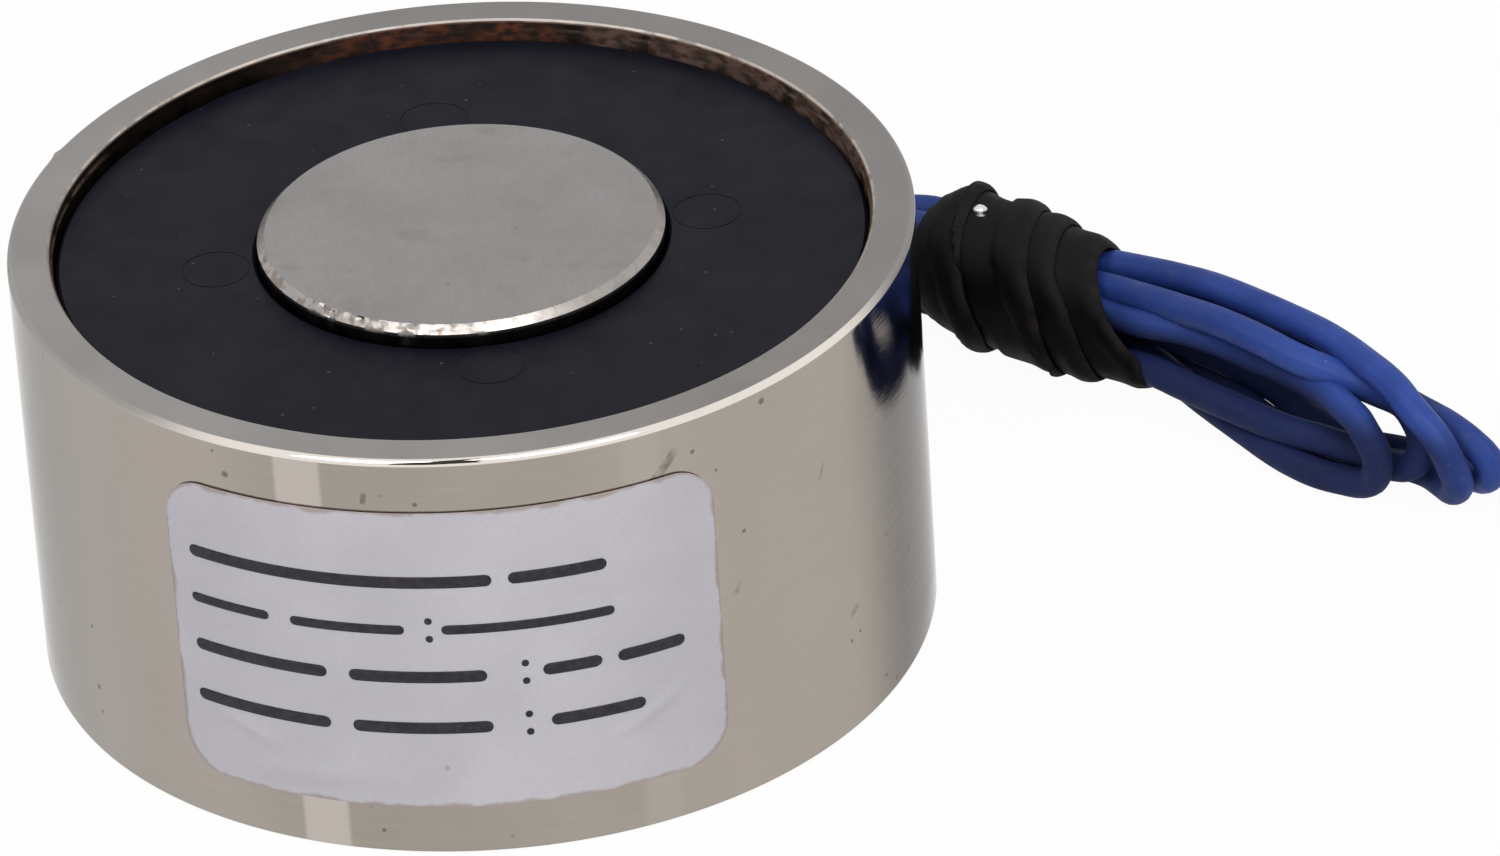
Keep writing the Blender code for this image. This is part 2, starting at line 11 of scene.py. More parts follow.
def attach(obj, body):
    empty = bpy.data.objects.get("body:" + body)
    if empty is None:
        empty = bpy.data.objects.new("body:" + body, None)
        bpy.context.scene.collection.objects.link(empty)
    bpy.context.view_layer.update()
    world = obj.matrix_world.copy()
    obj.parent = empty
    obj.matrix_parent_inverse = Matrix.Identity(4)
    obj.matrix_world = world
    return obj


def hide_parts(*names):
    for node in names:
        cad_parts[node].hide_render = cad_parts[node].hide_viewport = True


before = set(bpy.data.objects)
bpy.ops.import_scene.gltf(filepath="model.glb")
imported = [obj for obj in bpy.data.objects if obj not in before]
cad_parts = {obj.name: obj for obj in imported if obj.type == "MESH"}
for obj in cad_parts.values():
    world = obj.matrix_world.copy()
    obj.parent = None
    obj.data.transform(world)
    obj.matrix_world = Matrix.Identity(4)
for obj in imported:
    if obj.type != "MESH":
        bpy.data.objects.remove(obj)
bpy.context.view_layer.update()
print("stage 1: the frame is loaded")


# Camera, fitted to the outline in the photo.
view = {
    "lens": 272.06, "sensor": 36.0, "near": 0.01, "far": 100.0, "place": (-0.0018794, -0.4307256, 0.2707952),
    "right": (0.99615279, -0.06686831, -0.05664146), "ahead": (0.02771027, 0.85353288, -0.52030160),
}


def aimCamera():
    data = bpy.data.cameras.new("photo camera")
    data.lens = view["lens"]
    data.sensor_width = view["sensor"]
    data.clip_start = view["near"]
    data.clip_end = view["far"]
    camera = bpy.data.objects.new("photo camera", data)
    bpy.context.scene.collection.objects.link(camera)
    right = Vector(view["right"]).normalized()
    ahead = Vector(view["ahead"]).normalized()
    up = right.cross(ahead).normalized()
    turn = Matrix((right, up, -ahead)).transposed()
    camera.matrix_world = Matrix.Translation(view["place"]) @ turn.to_4x4()
    bpy.context.scene.camera = camera


spanSteps = 24  # fine steps from one point of a line to the next


# A smooth line through points, with even steps along it.
def smoothLine(points, spacing):
    ends = [points[0] * 2 - points[1]] + points + [points[-1] * 2 - points[-2]]
    fine = []
    for index in range(1, len(ends) - 2):
        four = ends[index - 1:index + 3]
        knots = [0.0]
        for a, b in zip(four, four[1:]):
            knots.append(knots[-1] + math.sqrt((b - a).length))
        for step in range(spanSteps):
            at = knots[1] + (knots[2] - knots[1]) * step / spanSteps
            pairs = [blendAt(four[k], four[k + 1], knots[k], knots[k + 1], at) for k in range(3)]
            triples = [blendAt(pairs[k], pairs[k + 1], knots[k], knots[k + 2], at) for k in range(2)]
            fine.append(blendAt(triples[0], triples[1], knots[1], knots[2], at))
    fine.append(points[-1])
    length = sum((b - a).length for a, b in zip(fine, fine[1:]))
    count = max(2, round(length / spacing))
    result = [fine[0]]
    travelled = 0.0
    for a, b in zip(fine, fine[1:]):
        step = (b - a).length
        while len(result) < count and travelled + step >= len(result) * length / count:
            result.append(a.lerp(b, (len(result) * length / count - travelled) / step))
        travelled += step
    result.append(fine[-1])
    return result, length


def blendAt(a, b, start, end, at):
    return a * ((end - at) / (end - start)) + b * ((at - start) / (end - start))


def waysAlong(line):
    return [line[1] - line[0]] + [b - a for a, b in zip(line, line[2:])] + [line[-1] - line[-2]]


# A round tube along a line of points, with its own way round and along as its UV map.
def sweptTube(name, line, radii, sides):
    shape = bmesh.new()
    uv = shape.loops.layers.uv.new("way")
    ways = waysAlong(line)
    across = Vector((0, 0, 1)).cross(ways[0]).normalized()
    rings = []
    travelled = [0.0]
    for a, b in zip(line, line[1:]):
        travelled.append(travelled[-1] + (b - a).length)
    for centre, way, radius in zip(line, ways, radii):
        way = way.normalized()
        across = (across - way * across.dot(way)).normalized()
        over = way.cross(across)
        ring = []
        for side in range(sides):
            turn = 2 * math.pi * side / sides
            off = across * math.cos(turn) + over * math.sin(turn)
            ring.append(shape.verts.new(centre + off * radius))
        rings.append(ring)
    for step, (low, high) in enumerate(zip(rings, rings[1:])):
        for side in range(sides):
            after = (side + 1) % sides
            face = shape.faces.new((low[side], low[after], high[after], high[side]))
            places = ((side, step), (side + 1, step), (side + 1, step + 1), (side, step + 1))
            for loop, (around, along) in zip(face.loops, places):
                loop[uv].uv = (around / sides, travelled[along] * 100)
    shape.faces.new(list(reversed(rings[0])))
    shape.faces.new(rings[-1])
    return finishMesh(name, shape, 50)


# Turns a bmesh into an object, smooth where its faces meet at less than an angle.
def finishMesh(name, shape, angle):
    mesh = bpy.data.meshes.new(name)
    shape.normal_update()
    shape.to_mesh(mesh)
    shape.free()
    mesh.polygons.foreach_set("use_smooth", [True] * len(mesh.polygons))
    mesh.set_sharp_from_angle(angle=math.radians(angle))
    obj = bpy.data.objects.new(name, mesh)
    bpy.context.scene.collection.objects.link(obj)
    return obj


# A sheet of quads through columns of points that have the same count.
def joinColumns(shape, columns):
    for near, far in zip(columns, columns[1:]):
        for row in range(len(near) - 1):
            shape.faces.new((near[row], far[row], far[row + 1], near[row + 1]))


# Gives a sheet its thickness, with offset 0 to both sides of it and 1 outwards.
def thicken(sheet, thick, offset):
    solid = sheet.modifiers.new("thickness", "SOLIDIFY")
    solid.thickness = thick
    solid.offset = offset


# Leads: 1.4 mm thick, side by side through the seal, then folded four times into the hank.
leads = {
    "thickness": 0.0014, "pitch": 0.0017, "length": 0.2, "height": 0.0066, "exit": math.radians(112),
    "atWall": 0.018, "leave": 0.02015, "sag": 0.0003, "spacing": 0.00035, "sides": 20, "uneven": 0.012,
}
splice = {"radius": 0.016596, "sleeve": 0.006, "start": 0.003, "held": 0.0015, "bend": 0.4, "steps": 5}
exitWay = Vector((math.cos(leads["exit"]), math.sin(leads["exit"]), 0.0))
exitLevel = Vector((0, 0, leads["height"]))
freeRun = [
    (-0.0094, 0.0260, 0.0048), (-0.0081, 0.0286, 0.0031), (-0.0055, 0.0306, 0.0017),
    (-0.0020, 0.0316, 0.0010), (0.0018, 0.0315, 0.0010), (0.0054, 0.0302, 0.0010),
    (0.0087, 0.0283, 0.0011),
]

# The hank lies along one line in plan, and its taped stretch along another.
hankOrigin = Vector((0.02225, 0.0219, 0.0))
hankAlong = Vector((0.688, -0.725, 0.0))
hankAcross = Vector((0.725, 0.688, 0.0))
tapeFrom = Vector((0.02090, 0.02080, 0.00352))
tapeTo = Vector((0.03070, 0.01480, 0.00312))
tapeWay = (tapeTo - tapeFrom).normalized()
tapedLength = 0.011
tapeStart = tapeFrom + tapeWay * ((tapeTo - tapeFrom).length - tapedLength) / 2
tapeLevel = Vector((tapeWay.x, tapeWay.y, 0.0)).normalized()
tapeSide = Vector((-tapeLevel.y, tapeLevel.x, 0.0))
strandRise = {"over": 0.0032, "aside": 0.0004, "up": 0.0006}


def inLoops(along, across, height):
    return hankOrigin + hankAlong * along + hankAcross * across + Vector((0, 0, height))


# In the taped stretch; the strands rise a little towards its left end.
def inTape(along, across, up):
    lift = 1.0 - min(1.0, max(0.0, along / strandRise["over"]))
    lift = lift * lift * (3 - 2 * lift)
    return onRoll(along, across + strandRise["aside"] * lift, up + strandRise["up"] * lift)


def onRoll(along, across, up):
    return tapeStart + tapeWay * along + tapeSide * across + Vector((0, 0, up))


def beforeTape(back, across, height):
    place = tapeStart - tapeLevel * back + tapeSide * across
    return Vector((place.x, place.y, height))


# The route of each lead, strand by strand, in millimetres. Every run says how it is placed.
leadARuns = [
    (beforeTape, [(12, 1.6, 1.2), (10, 2.3, 0.75), (7, 2.4, 0.75), (4, 2.1, 1)]),
    (inTape, [(0, 1.45, -1.45), (5, 1.45, -1.45), (11, 1.45, -1.45)]),
    (inLoops, [
        (13, 2.6, 1.2), (16, 2.05, 0.75), (19, 1.2, 0.7), (22, 0.75, 0.7), (24.2, 1.1, 0.7),
        (25.9, 2, 0.7), (27.3, 2.2, 0.72), (28.5, 1.9, 0.75), (29.5, 1.4, 1), (30.2, 1, 1.7),
        (30.3, 0.6, 2.65), (30, 0.4, 3.6), (29.4, 0.4, 4.3), (28.1, 0.5, 5.1), (26.5, 1, 5.6),
        (24.3, 1.6, 5.75), (21.7, 2.3, 5.7), (18.6, 2.6, 5.65), (14.6, 2.65, 5.6), (12.3, 2.6, 5.35),
    ]),
    (inTape, [(10, 1.45, 1.85), (5, 1.45, 1.45), (0, 1.45, 1.45)]),
    (beforeTape, [
        (4, 1.3, 4.95), (8.2, 1.2, 4.9), (9.6, 1.1, 4.3), (10.2, 1.05, 2.95), (9.6, 1, 1.6),
        (8.2, 0.95, 0.95), (4, 0.7, 1.1),
    ]),
    (inTape, [(0, 0, -1.45), (5, 0, -1.45), (11, 0, -1.45)]),
    (inLoops, [
        (13.2, 0.9, 1.32), (15.8, 0.4, 1), (18.2, -0.1, 0.85), (21.4, -0.8, 0.78), (23.5, -0.9, 0.75),
        (24.9, -0.6, 0.75), (25.8, -0.5, 0.9), (26.5, -0.5, 1.4), (26.8, -0.6, 2.2), (26.8, -0.7, 3.05),
        (26.2, -0.7, 3.85), (25.6, -0.5, 4.2), (24.6, -0.2, 4.32), (23.7, 0.2, 4.3), (22.6, 0.6, 4.15),
        (20.7, 0.95, 4.05), (18.3, 0.95, 4.1), (16.1, 0.75, 4.3), (14.3, 0.45, 4.35), (12.9, 0.05, 4.3),
    ]),
    (inTape, [
        (10.5, -1.1, 0.8), (8.5, -1.35, 1.2), (6.8, -1.6, 1.6), (5.4, -1.65, 1.95), (4.5, -1.3, 2.4),
        (3.9, -0.8, 2.8), (3.5, -0.4, 3.1),
    ]),
]

leadBRuns = [
    (beforeTape, [(12, -1.3, 1.1), (10, -1.9, 0.75), (7, -1.95, 0.72), (4, -1.8, 1)]),
    (inTape, [(0, -1.45, -1.45), (5, -1.45, -1.45), (11, -1.45, -1.35)]),
    (inLoops, [
        (13.1, -0.4, 2.15), (15.2, -0.5, 2.15), (18.3, -0.55, 2.1), (21.1, -0.4, 1.98), (23.4, 0, 1.95),
        (25, 0.5, 1.65), (26.3, 0.75, 1.45), (27.3, 0.9, 1.65), (27.9, 1.05, 2.3), (27.9, 1.3, 3.1),
        (27.3, 1.6, 3.7), (26.4, 1.8, 4.2), (24.9, 1.6, 4.45), (23.7, 1.2, 4.78), (22.6, 0.85, 5.05),
        (21.3, 0.55, 5.27), (19, 0.4, 5.6), (16.5, 0.4, 5.64), (14.8, 0.5, 5.44), (12.9, 0.6, 5.2),
    ]),
    (inTape, [(10, -0.2, 1.6), (5, 0, 1.45), (0, 0, 1.45)]),
    (beforeTape, [
        (4, -0.3, 5.1), (7.8, -0.45, 5.15), (9.2, -0.5, 4.6), (9.8, -0.5, 3.4), (9.2, -0.5, 2.2),
        (7.8, -0.5, 1.75), (4, -0.45, 2.2),
    ]),
    (inTape, [(0, 0, 0), (5, 0, 0), (11, 0, 0)]),
    (inLoops, [
        (14.5, 1.9, 2.55), (17.5, 2.65, 1.65), (20.5, 2.45, 0.85), (23.2, 2.3, 0.72), (25.2, 2.9, 0.72),
        (27, 3.4, 0.72), (28.7, 3.3, 0.75), (30, 2.9, 1.05), (30.8, 2.5, 1.8), (30.8, 2.3, 2.7),
        (30, 2.2, 3.3), (28.7, 2.4, 3.5), (27.2, 2.8, 3.35), (25.8, 3.15, 3.2), (24, 3.4, 3.3),
        (21.5, 3.4, 3.7), (18, 3.35, 3.9), (14, 3.05, 3.75),
    ]),
    (inTape, [(11, 1.5, 0.2), (9.3, 1.55, 0.05), (8.2, 1.8, -0.3)]),
]


def hankRoute(runs):
    return [placed(*[value / 1000 for value in point]) for placed, points in runs for point in points]


# The stretch inside the cup, from the splice to the hole in the wall.
def insideCup(side):
    half = splice["sleeve"] / 2
    turn = math.asin(splice["start"] / math.hypot(splice["radius"], half))
    turn = leads["exit"] + side * (turn + math.atan2(half, splice["radius"]))
    middle = polar(splice["radius"], turn, leads["height"])
    way = Vector((-math.sin(turn), math.cos(turn), 0.0)) * side
    mouth = middle - way * half
    aside = Vector((-exitWay.y, exitWay.x, 0.0)) * side * leads["pitch"] / 2
    atWall = exitWay * leads["atWall"] + aside + exitLevel
    reach = (atWall - mouth).length * splice["bend"]
    corners = [mouth, mouth - way * reach, atWall - exitWay * reach, atWall]
    points = [mouth + way * splice["held"], mouth]
    for step in range(1, splice["steps"]):
        t = step / splice["steps"]
        shares = ((1 - t) ** 3, 3 * t * (1 - t) ** 2, 3 * t ** 2 * (1 - t), t ** 3)
        points.append(sum((corner * share for corner, share in zip(corners, shares)), Vector()))
    return points + [atWall]


def outsideRun(side):
    mid = [exitWay * (leads["leave"] + leads["thickness"] * k) + exitLevel for k in range(3)]
    mid[-1].z -= leads["sag"]
    mid += [Vector(point) for point in freeRun]
    points = []
    for point, way in zip(mid, waysAlong(mid)):
        level = Vector((-way.y, way.x, 0.0)).normalized()
        points.append(point + level * side * leads["pitch"] / 2)
    return points


def polar(radius, turn, height):
    return Vector((radius * math.cos(turn), radius * math.sin(turn), height))


def makeLead(letter, side, route):
    line, length = smoothLine(insideCup(side) + outsideRun(side) + route, leads["spacing"])
    radii = [leads["thickness"] / 2 * (1 + leads["uneven"] * noise.noise(point * 900)) for point in line]
    lead = sweptTube("lead_" + letter, line, radii, leads["sides"])
    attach(lead, "root")
    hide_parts("lead_wire_" + letter, "lead_hank")
    print("lead", letter, "is", round(length * 1000, 1), "mm long")
    return lead, line


turnedSharp = 30  # degrees between two faces that stay a sharp edge


# Rings of points turned about +Z. A row is (radius, height) or a function of the turn.
def lathe(name, rows, steps, closed=False):
    shape = bmesh.new()
    rings = []
    for row in rows:
        ring = []
        for step in range(steps):
            turn = 2 * math.pi * step / steps
            radius, height = row(turn) if callable(row) else row
            if radius < 1e-7:
                ring = [shape.verts.new((0.0, 0.0, height))] * steps
                break
            ring.append(shape.verts.new(polar(radius, turn, height)))
        rings.append(ring)
    pairs = list(zip(rings, rings[1:]))
    if closed:
        pairs.append((rings[-1], rings[0]))
    for high, low in pairs:
        for step in range(steps):
            after = (step + 1) % steps
            corners = [high[step], low[step], low[after], high[after]]
            shape.faces.new(list(dict.fromkeys(corners)))
    bmesh.ops.recalc_face_normals(shape, faces=shape.faces)
    return finishMesh(name, shape, turnedSharp)


def arc(centre, radius, start, end, steps):
    points = []
    for step in range(steps + 1):
        turn = math.radians(start + (end - start) * step / steps)
        points.append((centre[0] + radius * math.cos(turn), centre[1] + radius * math.sin(turn)))
    return points


def cutBy(obj, cutters):
    for cutter in cutters:
        boolean = obj.modifiers.new("cut", "BOOLEAN")
        boolean.operation = "DIFFERENCE"
        boolean.solver = "EXACT"
        boolean.object = cutter
    bpy.context.view_layer.update()
    seen = obj.evaluated_get(bpy.context.evaluated_depsgraph_get())
    mesh = bpy.data.meshes.new_from_object(seen)
    obj.modifiers.clear()
    obj.data = mesh
    mesh.set_sharp_from_angle(angle=math.radians(turnedSharp))
    for cutter in cutters:
        bpy.data.objects.remove(cutter, do_unlink=True)


# Cup: turned from bar and nickel plated, 40 mm across and 20 mm high.
cup = {
    "radius": 0.020, "height": 0.020, "bore": 0.018, "base": 0.004, "spigotHole": 0.00505, "edge": 0.0003,
    "chamfer": 0.00024, "chamferDeep": 0.00014, "ledge": 0.0001, "bevel": 0.0003, "corner": 0.0005,
    "hole": 0.0022, "holeMiddle": 0.019, "holeReach": 0.003,
}
burr = {"turn": math.radians(152.5), "reach": 0.016, "proud": 0.00013, "deep": 0.0008}


# A small burr stands out from the rim's outer edge.
def burred(radius, height):
    def row(turn):
        off = (turn - burr["turn"]) / burr["reach"]
        fade = max(0.0, 1.0 - (cup["height"] - height) / burr["deep"])
        return radius + burr["proud"] * fade * math.exp(-off * off), height
    return row


def makeCup():
    top, bore, wall, edge = cup["height"], cup["bore"], cup["radius"], cup["edge"]
    spigot, bevel, corner = cup["spigotHole"], cup["bevel"], cup["corner"]
    ledge = bore + cup["ledge"]
    rows = [(bore + cup["chamfer"], top)]
    rows += [burred(*row) for row in arc((wall - edge, top - edge), edge, 90, 0, 10)]
    rows += [burred(wall, top - edge - k * 0.00015) for k in range(1, 4)]
    rows += [(wall, top - 0.0010 - k * 0.0024) for k in range(8)]
    rows += arc((wall - edge, edge), edge, 0, -90, 5)
    rows += [(spigot + bevel, 0.0), (spigot, bevel), (spigot, cup["base"])]
    rows += arc((bore - corner, cup["base"] + corner), corner, -90, 0, 4)
    rows += [(bore, top - 0.00045), (ledge, top - 0.0005), (ledge, top - cup["chamferDeep"])]
    body = lathe("cup_shell", rows, 288, closed=True)
    across, reach = cup["hole"], cup["holeReach"]
    hole = lathe("exit hole", [(0.0, reach), (across, reach), (across, -reach), (0.0, -reach)], 64)
    hole.data.transform(exitWay.to_track_quat("Z", "Y").to_matrix().to_4x4())
    hole.data.transform(Matrix.Translation(exitWay * cup["holeMiddle"] + exitLevel))
    cutBy(body, [hole])
    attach(body, "root")
    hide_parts("housing_cup")
    return body


# Pole core: its face is level with the rim, and its spigot is tapped M5 from below.
core = {
    "radius": 0.009, "spigot": 0.005, "recess": 0.0001, "bore": 0.0021, "thread": 0.0004, "pitch": 0.0008,
    "chamfer": 0.00034, "shoulder": 0.0041, "mouth": (0.0027, 0.0025), "threadStart": 0.0004,
    "threadEnd": 0.0088, "drilled": 0.009, "point": 0.01026,
}
dents = {"turn": -128, "large": 2600, "small": 6000, "deep": 0.00018}


def pitted(radius, height):
    def row(turn):
        worn = max(0.0, math.cos(turn - math.radians(dents["turn"]))) ** 4
        place = polar(radius, turn, height)
        dent = noise.noise(place * dents["large"]) + 0.6 * noise.noise(place * dents["small"])
        depth = worn * max(0.0, dent) * dents["deep"]
        return radius - depth, height - depth * 0.6
    return row


def threadRow(height):
    def row(turn):
        phase = (height / core["pitch"] + turn / (2 * math.pi)) % 1.0
        rise = 1.0 - abs(phase * 2 - 1.0)
        return core["bore"] + core["thread"] * min(1.0, max(0.0, rise * 1.3 - 0.15)), height
    return row


def makeCore():
    top, chamfer, spigot, recess = cup["height"], core["chamfer"], core["spigot"], core["recess"]
    rows = [(0.0, top), (0.004, top), (0.0078, top)]
    for step in range(6):
        rows.append(pitted(core["radius"] - chamfer * (1 - step / 5), top - chamfer * step / 5))
    rows += [(core["radius"], top - chamfer - 0.0002), (core["radius"], core["shoulder"])]
    rows += [(spigot, core["shoulder"]), (spigot, 0.0004), (spigot - 0.0003, recess)]
    rows += [(core["mouth"][0], recess), (core["mouth"][1], recess + 0.0002)]
    rows += [threadRow(core["threadStart"] + k * 0.0001) for k in range(82)]
    rows += [(core["bore"], core["threadEnd"]), (core["bore"], core["drilled"]), (0.0, core["point"])]
    body = lathe("pole_with_thread", rows, 288)
    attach(body, "root")
    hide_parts("pole_core")
    return body


# Bobbin: its top flange closes the cup, with four round ejector marks.
bobbin = {
    "face": 0.0191, "hub": 0.0091, "outer": 0.0179, "bevel": 0.00015, "flange": 0.0182, "barrel": 0.0100,
    "foot": 0.0041, "footTop": 0.0050, "footEdge": 0.0174,
}
ejector = {
    "radius": 0.0015, "places": 4, "away": 0.0109, "turn": math.radians(4), "wide": 0.00005,
    "deep": 0.00002, "above": 0.0001,
}


def makeBobbin():
    face, hub, outer, bevel = bobbin["face"], bobbin["hub"], bobbin["outer"], bobbin["bevel"]
    barrel, footEdge, footTop = bobbin["barrel"], bobbin["footEdge"], bobbin["footTop"]
    rows = [(hub + bevel, face), (0.0125, face), (0.015, face), (outer - bevel, face), (outer, face - bevel)]
    rows += [(outer, bobbin["flange"]), (barrel, bobbin["flange"]), (barrel, footTop), (footEdge, footTop)]
    rows += [(footEdge, bobbin["foot"]), (hub, bobbin["foot"]), (hub, face - bevel)]
    body = lathe("bobbin_face", rows, 192, closed=True)
    cutters = []
    edge, wide, deep, above = ejector["radius"], ejector["wide"], ejector["deep"], ejector["above"]
    for index in range(ejector["places"]):
        ring = [(edge - wide, above), (edge + wide, above)]
        ring += [(edge + wide / 2, -deep), (edge - wide / 2, -deep)]
        cutter = lathe("mark", ring, 72, closed=True)
        turn = ejector["turn"] + index * math.pi / 2
        cutter.data.transform(Matrix.Translation(polar(ejector["away"], turn, face)))
        cutters.append(cutter)
    cutBy(body, cutters)
    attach(body, "root")
    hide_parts("coil_bobbin")
    return body


# Tape: oblique turns over the strands, wound from the right and ending on the left.
tape = {
    "width": 0.0050, "left": 0.0006, "layer": 0.00022, "thick": 0.00015, "clear": 0.0001, "lap": 0.0005,
    "puff": 0.00016, "puffAway": 0.0007, "puffWide": 0.0006, "curl": 0.00014, "curlWide": 0.0003,
    "steps": 96, "across": 28, "first": -110, "last": 1390, "flat": 0.0008, "press": 0.54,
    "slice": 0.0005, "sliceReach": 0.0006, "slices": 28, "directions": 72, "bundle": 0.006,
    "ripple": 0.00005, "wave": 0.00006,
}
# Where the right edge of the strip lies along the bundle, by the degrees wound from its underside.
stripEdge = [
    (-110, 0.0115), (-40, 0.0124), (0, 0.0128), (35, 0.0129), (77, 0.0112), (110, 0.0101), (150, 0.0093),
    (210, 0.0094), (290, 0.0099), (360, 0.0101), (395, 0.0100), (440, 0.0091), (475, 0.0079), (540, 0.0071),
    (620, 0.0074), (700, 0.0081), (740, 0.0083), (795, 0.0076), (825, 0.0068), (900, 0.0056), (1000, 0.0047),
    (1080, 0.0043), (1120, 0.0045), (1165, 0.0037), (1200, 0.0032), (1260, 0.0026), (1390, 0.0016),
]
# How far the roll reaches above and below its middle, by the place along it.
rollReach = [
    (0.0003, 0.0033, 0.0018), (0.0011, 0.0038, 0.0021), (0.0021, 0.0042, 0.0026), (0.0034, 0.0040, 0.0029),
    (0.0052, 0.0039, 0.0029), (0.0074, 0.0037, 0.0030), (0.0093, 0.0033, 0.0030), (0.0116, 0.0030, 0.0030),
    (0.0130, 0.0027, 0.0027),
]
rollFoot = math.atan2(-0.818, -0.575)


# The values of a list of rows at a place between two of them, on a smooth curve through all.
def between(rows, at):
    at = min(max(at, rows[0][0]), rows[-1][0])
    index = max(k for k in range(len(rows) - 1) if rows[k][0] <= at)
    low, high = rows[index], rows[index + 1]
    before, after = rows[max(index - 1, 0)], rows[min(index + 2, len(rows) - 1)]
    step = high[0] - low[0]
    t = (at - low[0]) / step
    result = []
    for a, b, c, d in zip(before[1:], low[1:], high[1:], after[1:]):
        leaving = (c - a) / (high[0] - before[0]) * step
        coming = (d - b) / (after[0] - low[0]) * step
        curve = b * (2 * t ** 3 - 3 * t ** 2 + 1) + leaving * (t ** 3 - 2 * t ** 2 + t)
        result.append(curve + c * (3 * t ** 2 - 2 * t ** 3) + coming * (t ** 3 - t ** 2))
    return result


# How far the strands reach from the middle of the roll, by slices along it and directions round it.
def strandReach(lines):
    table = []
    places = []
    for line in lines:
        for point in line:
            off = point - tapeStart
            along = off.dot(tapeWay)
            places.append((along, off.dot(tapeSide), off.z - tapeWay.z * along))
    directions = tape["directions"]
    for index in range(tape["slices"]):
        middle = index * tape["slice"]
        near = []
        for along, a, b in places:
            if abs(along - middle) < tape["sliceReach"] and math.hypot(a, b) < tape["bundle"]:
                near.append((a, b))
        reach = []
        for k in range(directions):
            turn = 2 * math.pi * k / directions
            outward = [a * math.cos(turn) + b * math.sin(turn) for a, b in near]
            reach.append(max(outward, default=0.0) + leads["thickness"] / 2)
        hull = []
        for k in range(directions):
            turns = [(step, math.cos(2 * math.pi * step / directions)) for step in range(-8, 9)]
            hull.append(min(reach[(k + step) % directions] / cosine for step, cosine in turns))
        table.append(hull)
    return table


# The strip's place when it has been wound by so many degrees, at a distance from its right edge.
# The floor presses the underside of the roll flat.
def stripPoint(wound, away, table):
    turn = rollFoot - math.radians(wound)
    right = between(stripEdge, wound)[0]
    along = max(right - away, tape["left"])
    above, below = between(rollReach, along)
    radius = below + (above - below) * (1 - math.cos(turn - rollFoot)) / 2
    hull = table[min(len(table) - 1, round(along / tape["slice"]))]
    radius = max(radius, hull[round(turn / (2 * math.pi) * len(hull)) % len(hull)] + tape["clear"])
    under = 0.0
    earlier = wound - 360
    while earlier >= tape["first"]:
        edge = between(stripEdge, earlier)[0]
        if along > edge - tape["width"]:
            under += min(1.0, max(0.0, (edge - along) / tape["lap"] + 0.3))
        earlier -= 360
    radius += tape["layer"] * (under - 1.0)
    radius += tape["puff"] * math.exp(-((away - tape["puffAway"]) / tape["puffWide"]) ** 2)
    radius -= tape["curl"] * max(0.0, 1 - away / tape["curlWide"]) ** 2
    radius += tape["ripple"] * noise.noise(Vector((away * 700, wound * 0.018, 1.0)))
    radius += tape["wave"] * noise.noise(Vector((along * 420, math.cos(turn) * 1.5, math.sin(turn) * 1.5)))
    place = onRoll(along, radius * math.cos(turn), radius * math.sin(turn))
    if place.z < tape["flat"]:
        place.z = max(tape["clear"], tape["flat"] - (tape["flat"] - place.z) * tape["press"])
    return place


def makeTape(lines):
    table = strandReach(lines)
    shape = bmesh.new()
    edge = shape.verts.layers.float.new("edge")
    rows = []
    count = round((tape["last"] - tape["first"]) / 360 * tape["steps"])
    for step in range(count + 1):
        wound = tape["first"] + (tape["last"] - tape["first"]) * step / count
        row = []
        for k in range(tape["across"] + 1):
            away = tape["width"] * (k / tape["across"]) ** 1.5
            vert = shape.verts.new(stripPoint(wound, away, table))
            vert[edge] = away
            row.append(vert)
        rows.append(row)
    for low, high in zip(rows, rows[1:]):
        for k in range(tape["across"]):
            shape.faces.new((low[k], low[k + 1], high[k + 1], high[k]))
    bmesh.ops.remove_doubles(shape, verts=shape.verts, dist=0.000002)
    strip = finishMesh("wound_tape", shape, 60)
    thicken(strip, tape["thick"], 0.0)
    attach(strip, "root")
    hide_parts("hank_tape")
    return strip


# Label: a soft paper sticker rolled round the wall, and how it lifts along its lower edge.
label = {
    "width": 0.0251, "height": 0.0149, "corner": 0.002, "thick": 0.00008, "middle": 0.010, "turn": -6.9,
    "columns": 100, "rows": 40, "lift": 0.00004, "fold": 0.00008, "foldFrom": 0.45,
}


def onWall(across, height, proud):
    radius = cup["radius"] + proud
    turn = math.radians(label["turn"]) + across / cup["radius"]
    return Vector((radius * math.sin(turn), -radius * math.cos(turn), height))


# How far a place on the label is from its rounded outline.
def labelInset(across, rise):
    aside = abs(across) - (label["width"] / 2 - label["corner"])
    above = abs(rise) - (label["height"] / 2 - label["corner"])
    if aside > 0 and above > 0:
        return label["corner"] - math.hypot(aside, above)
    return label["corner"] - max(aside, above)


# Creases in the paper: place across and up from its middle, lean, half length, half width and height.
creases = [
    (-0.0088, -0.0046, -20, 0.0014, 0.00035, 0.00010), (-0.0060, -0.0062, 4, 0.0030, 0.00060, 0.00011),
    (0.0096, -0.0036, 28, 0.0013, 0.00026, 0.00008), (0.0082, -0.0044, 24, 0.0010, 0.00022, 0.00006),
]


# The paper has lifted in small folds along its lower edge, and in a few creases.
def labelFold(across, rise):
    low = max(0.0, -rise / (label["height"] / 2) - label["foldFrom"]) / (1 - label["foldFrom"])
    fold = noise.noise(Vector((across * 420, rise * 160, 3.0)))
    proud = label["lift"] + max(0.0, fold) * low * label["fold"]
    for middle, level, lean, long, wide, tall in creases:
        cosine, sine = math.cos(math.radians(lean)), math.sin(math.radians(lean))
        along = (across - middle) * cosine + (rise - level) * sine
        off = (rise - level) * cosine - (across - middle) * sine
        proud += tall * math.exp(-(along / long) ** 2 - (off / wide) ** 2)
    return proud


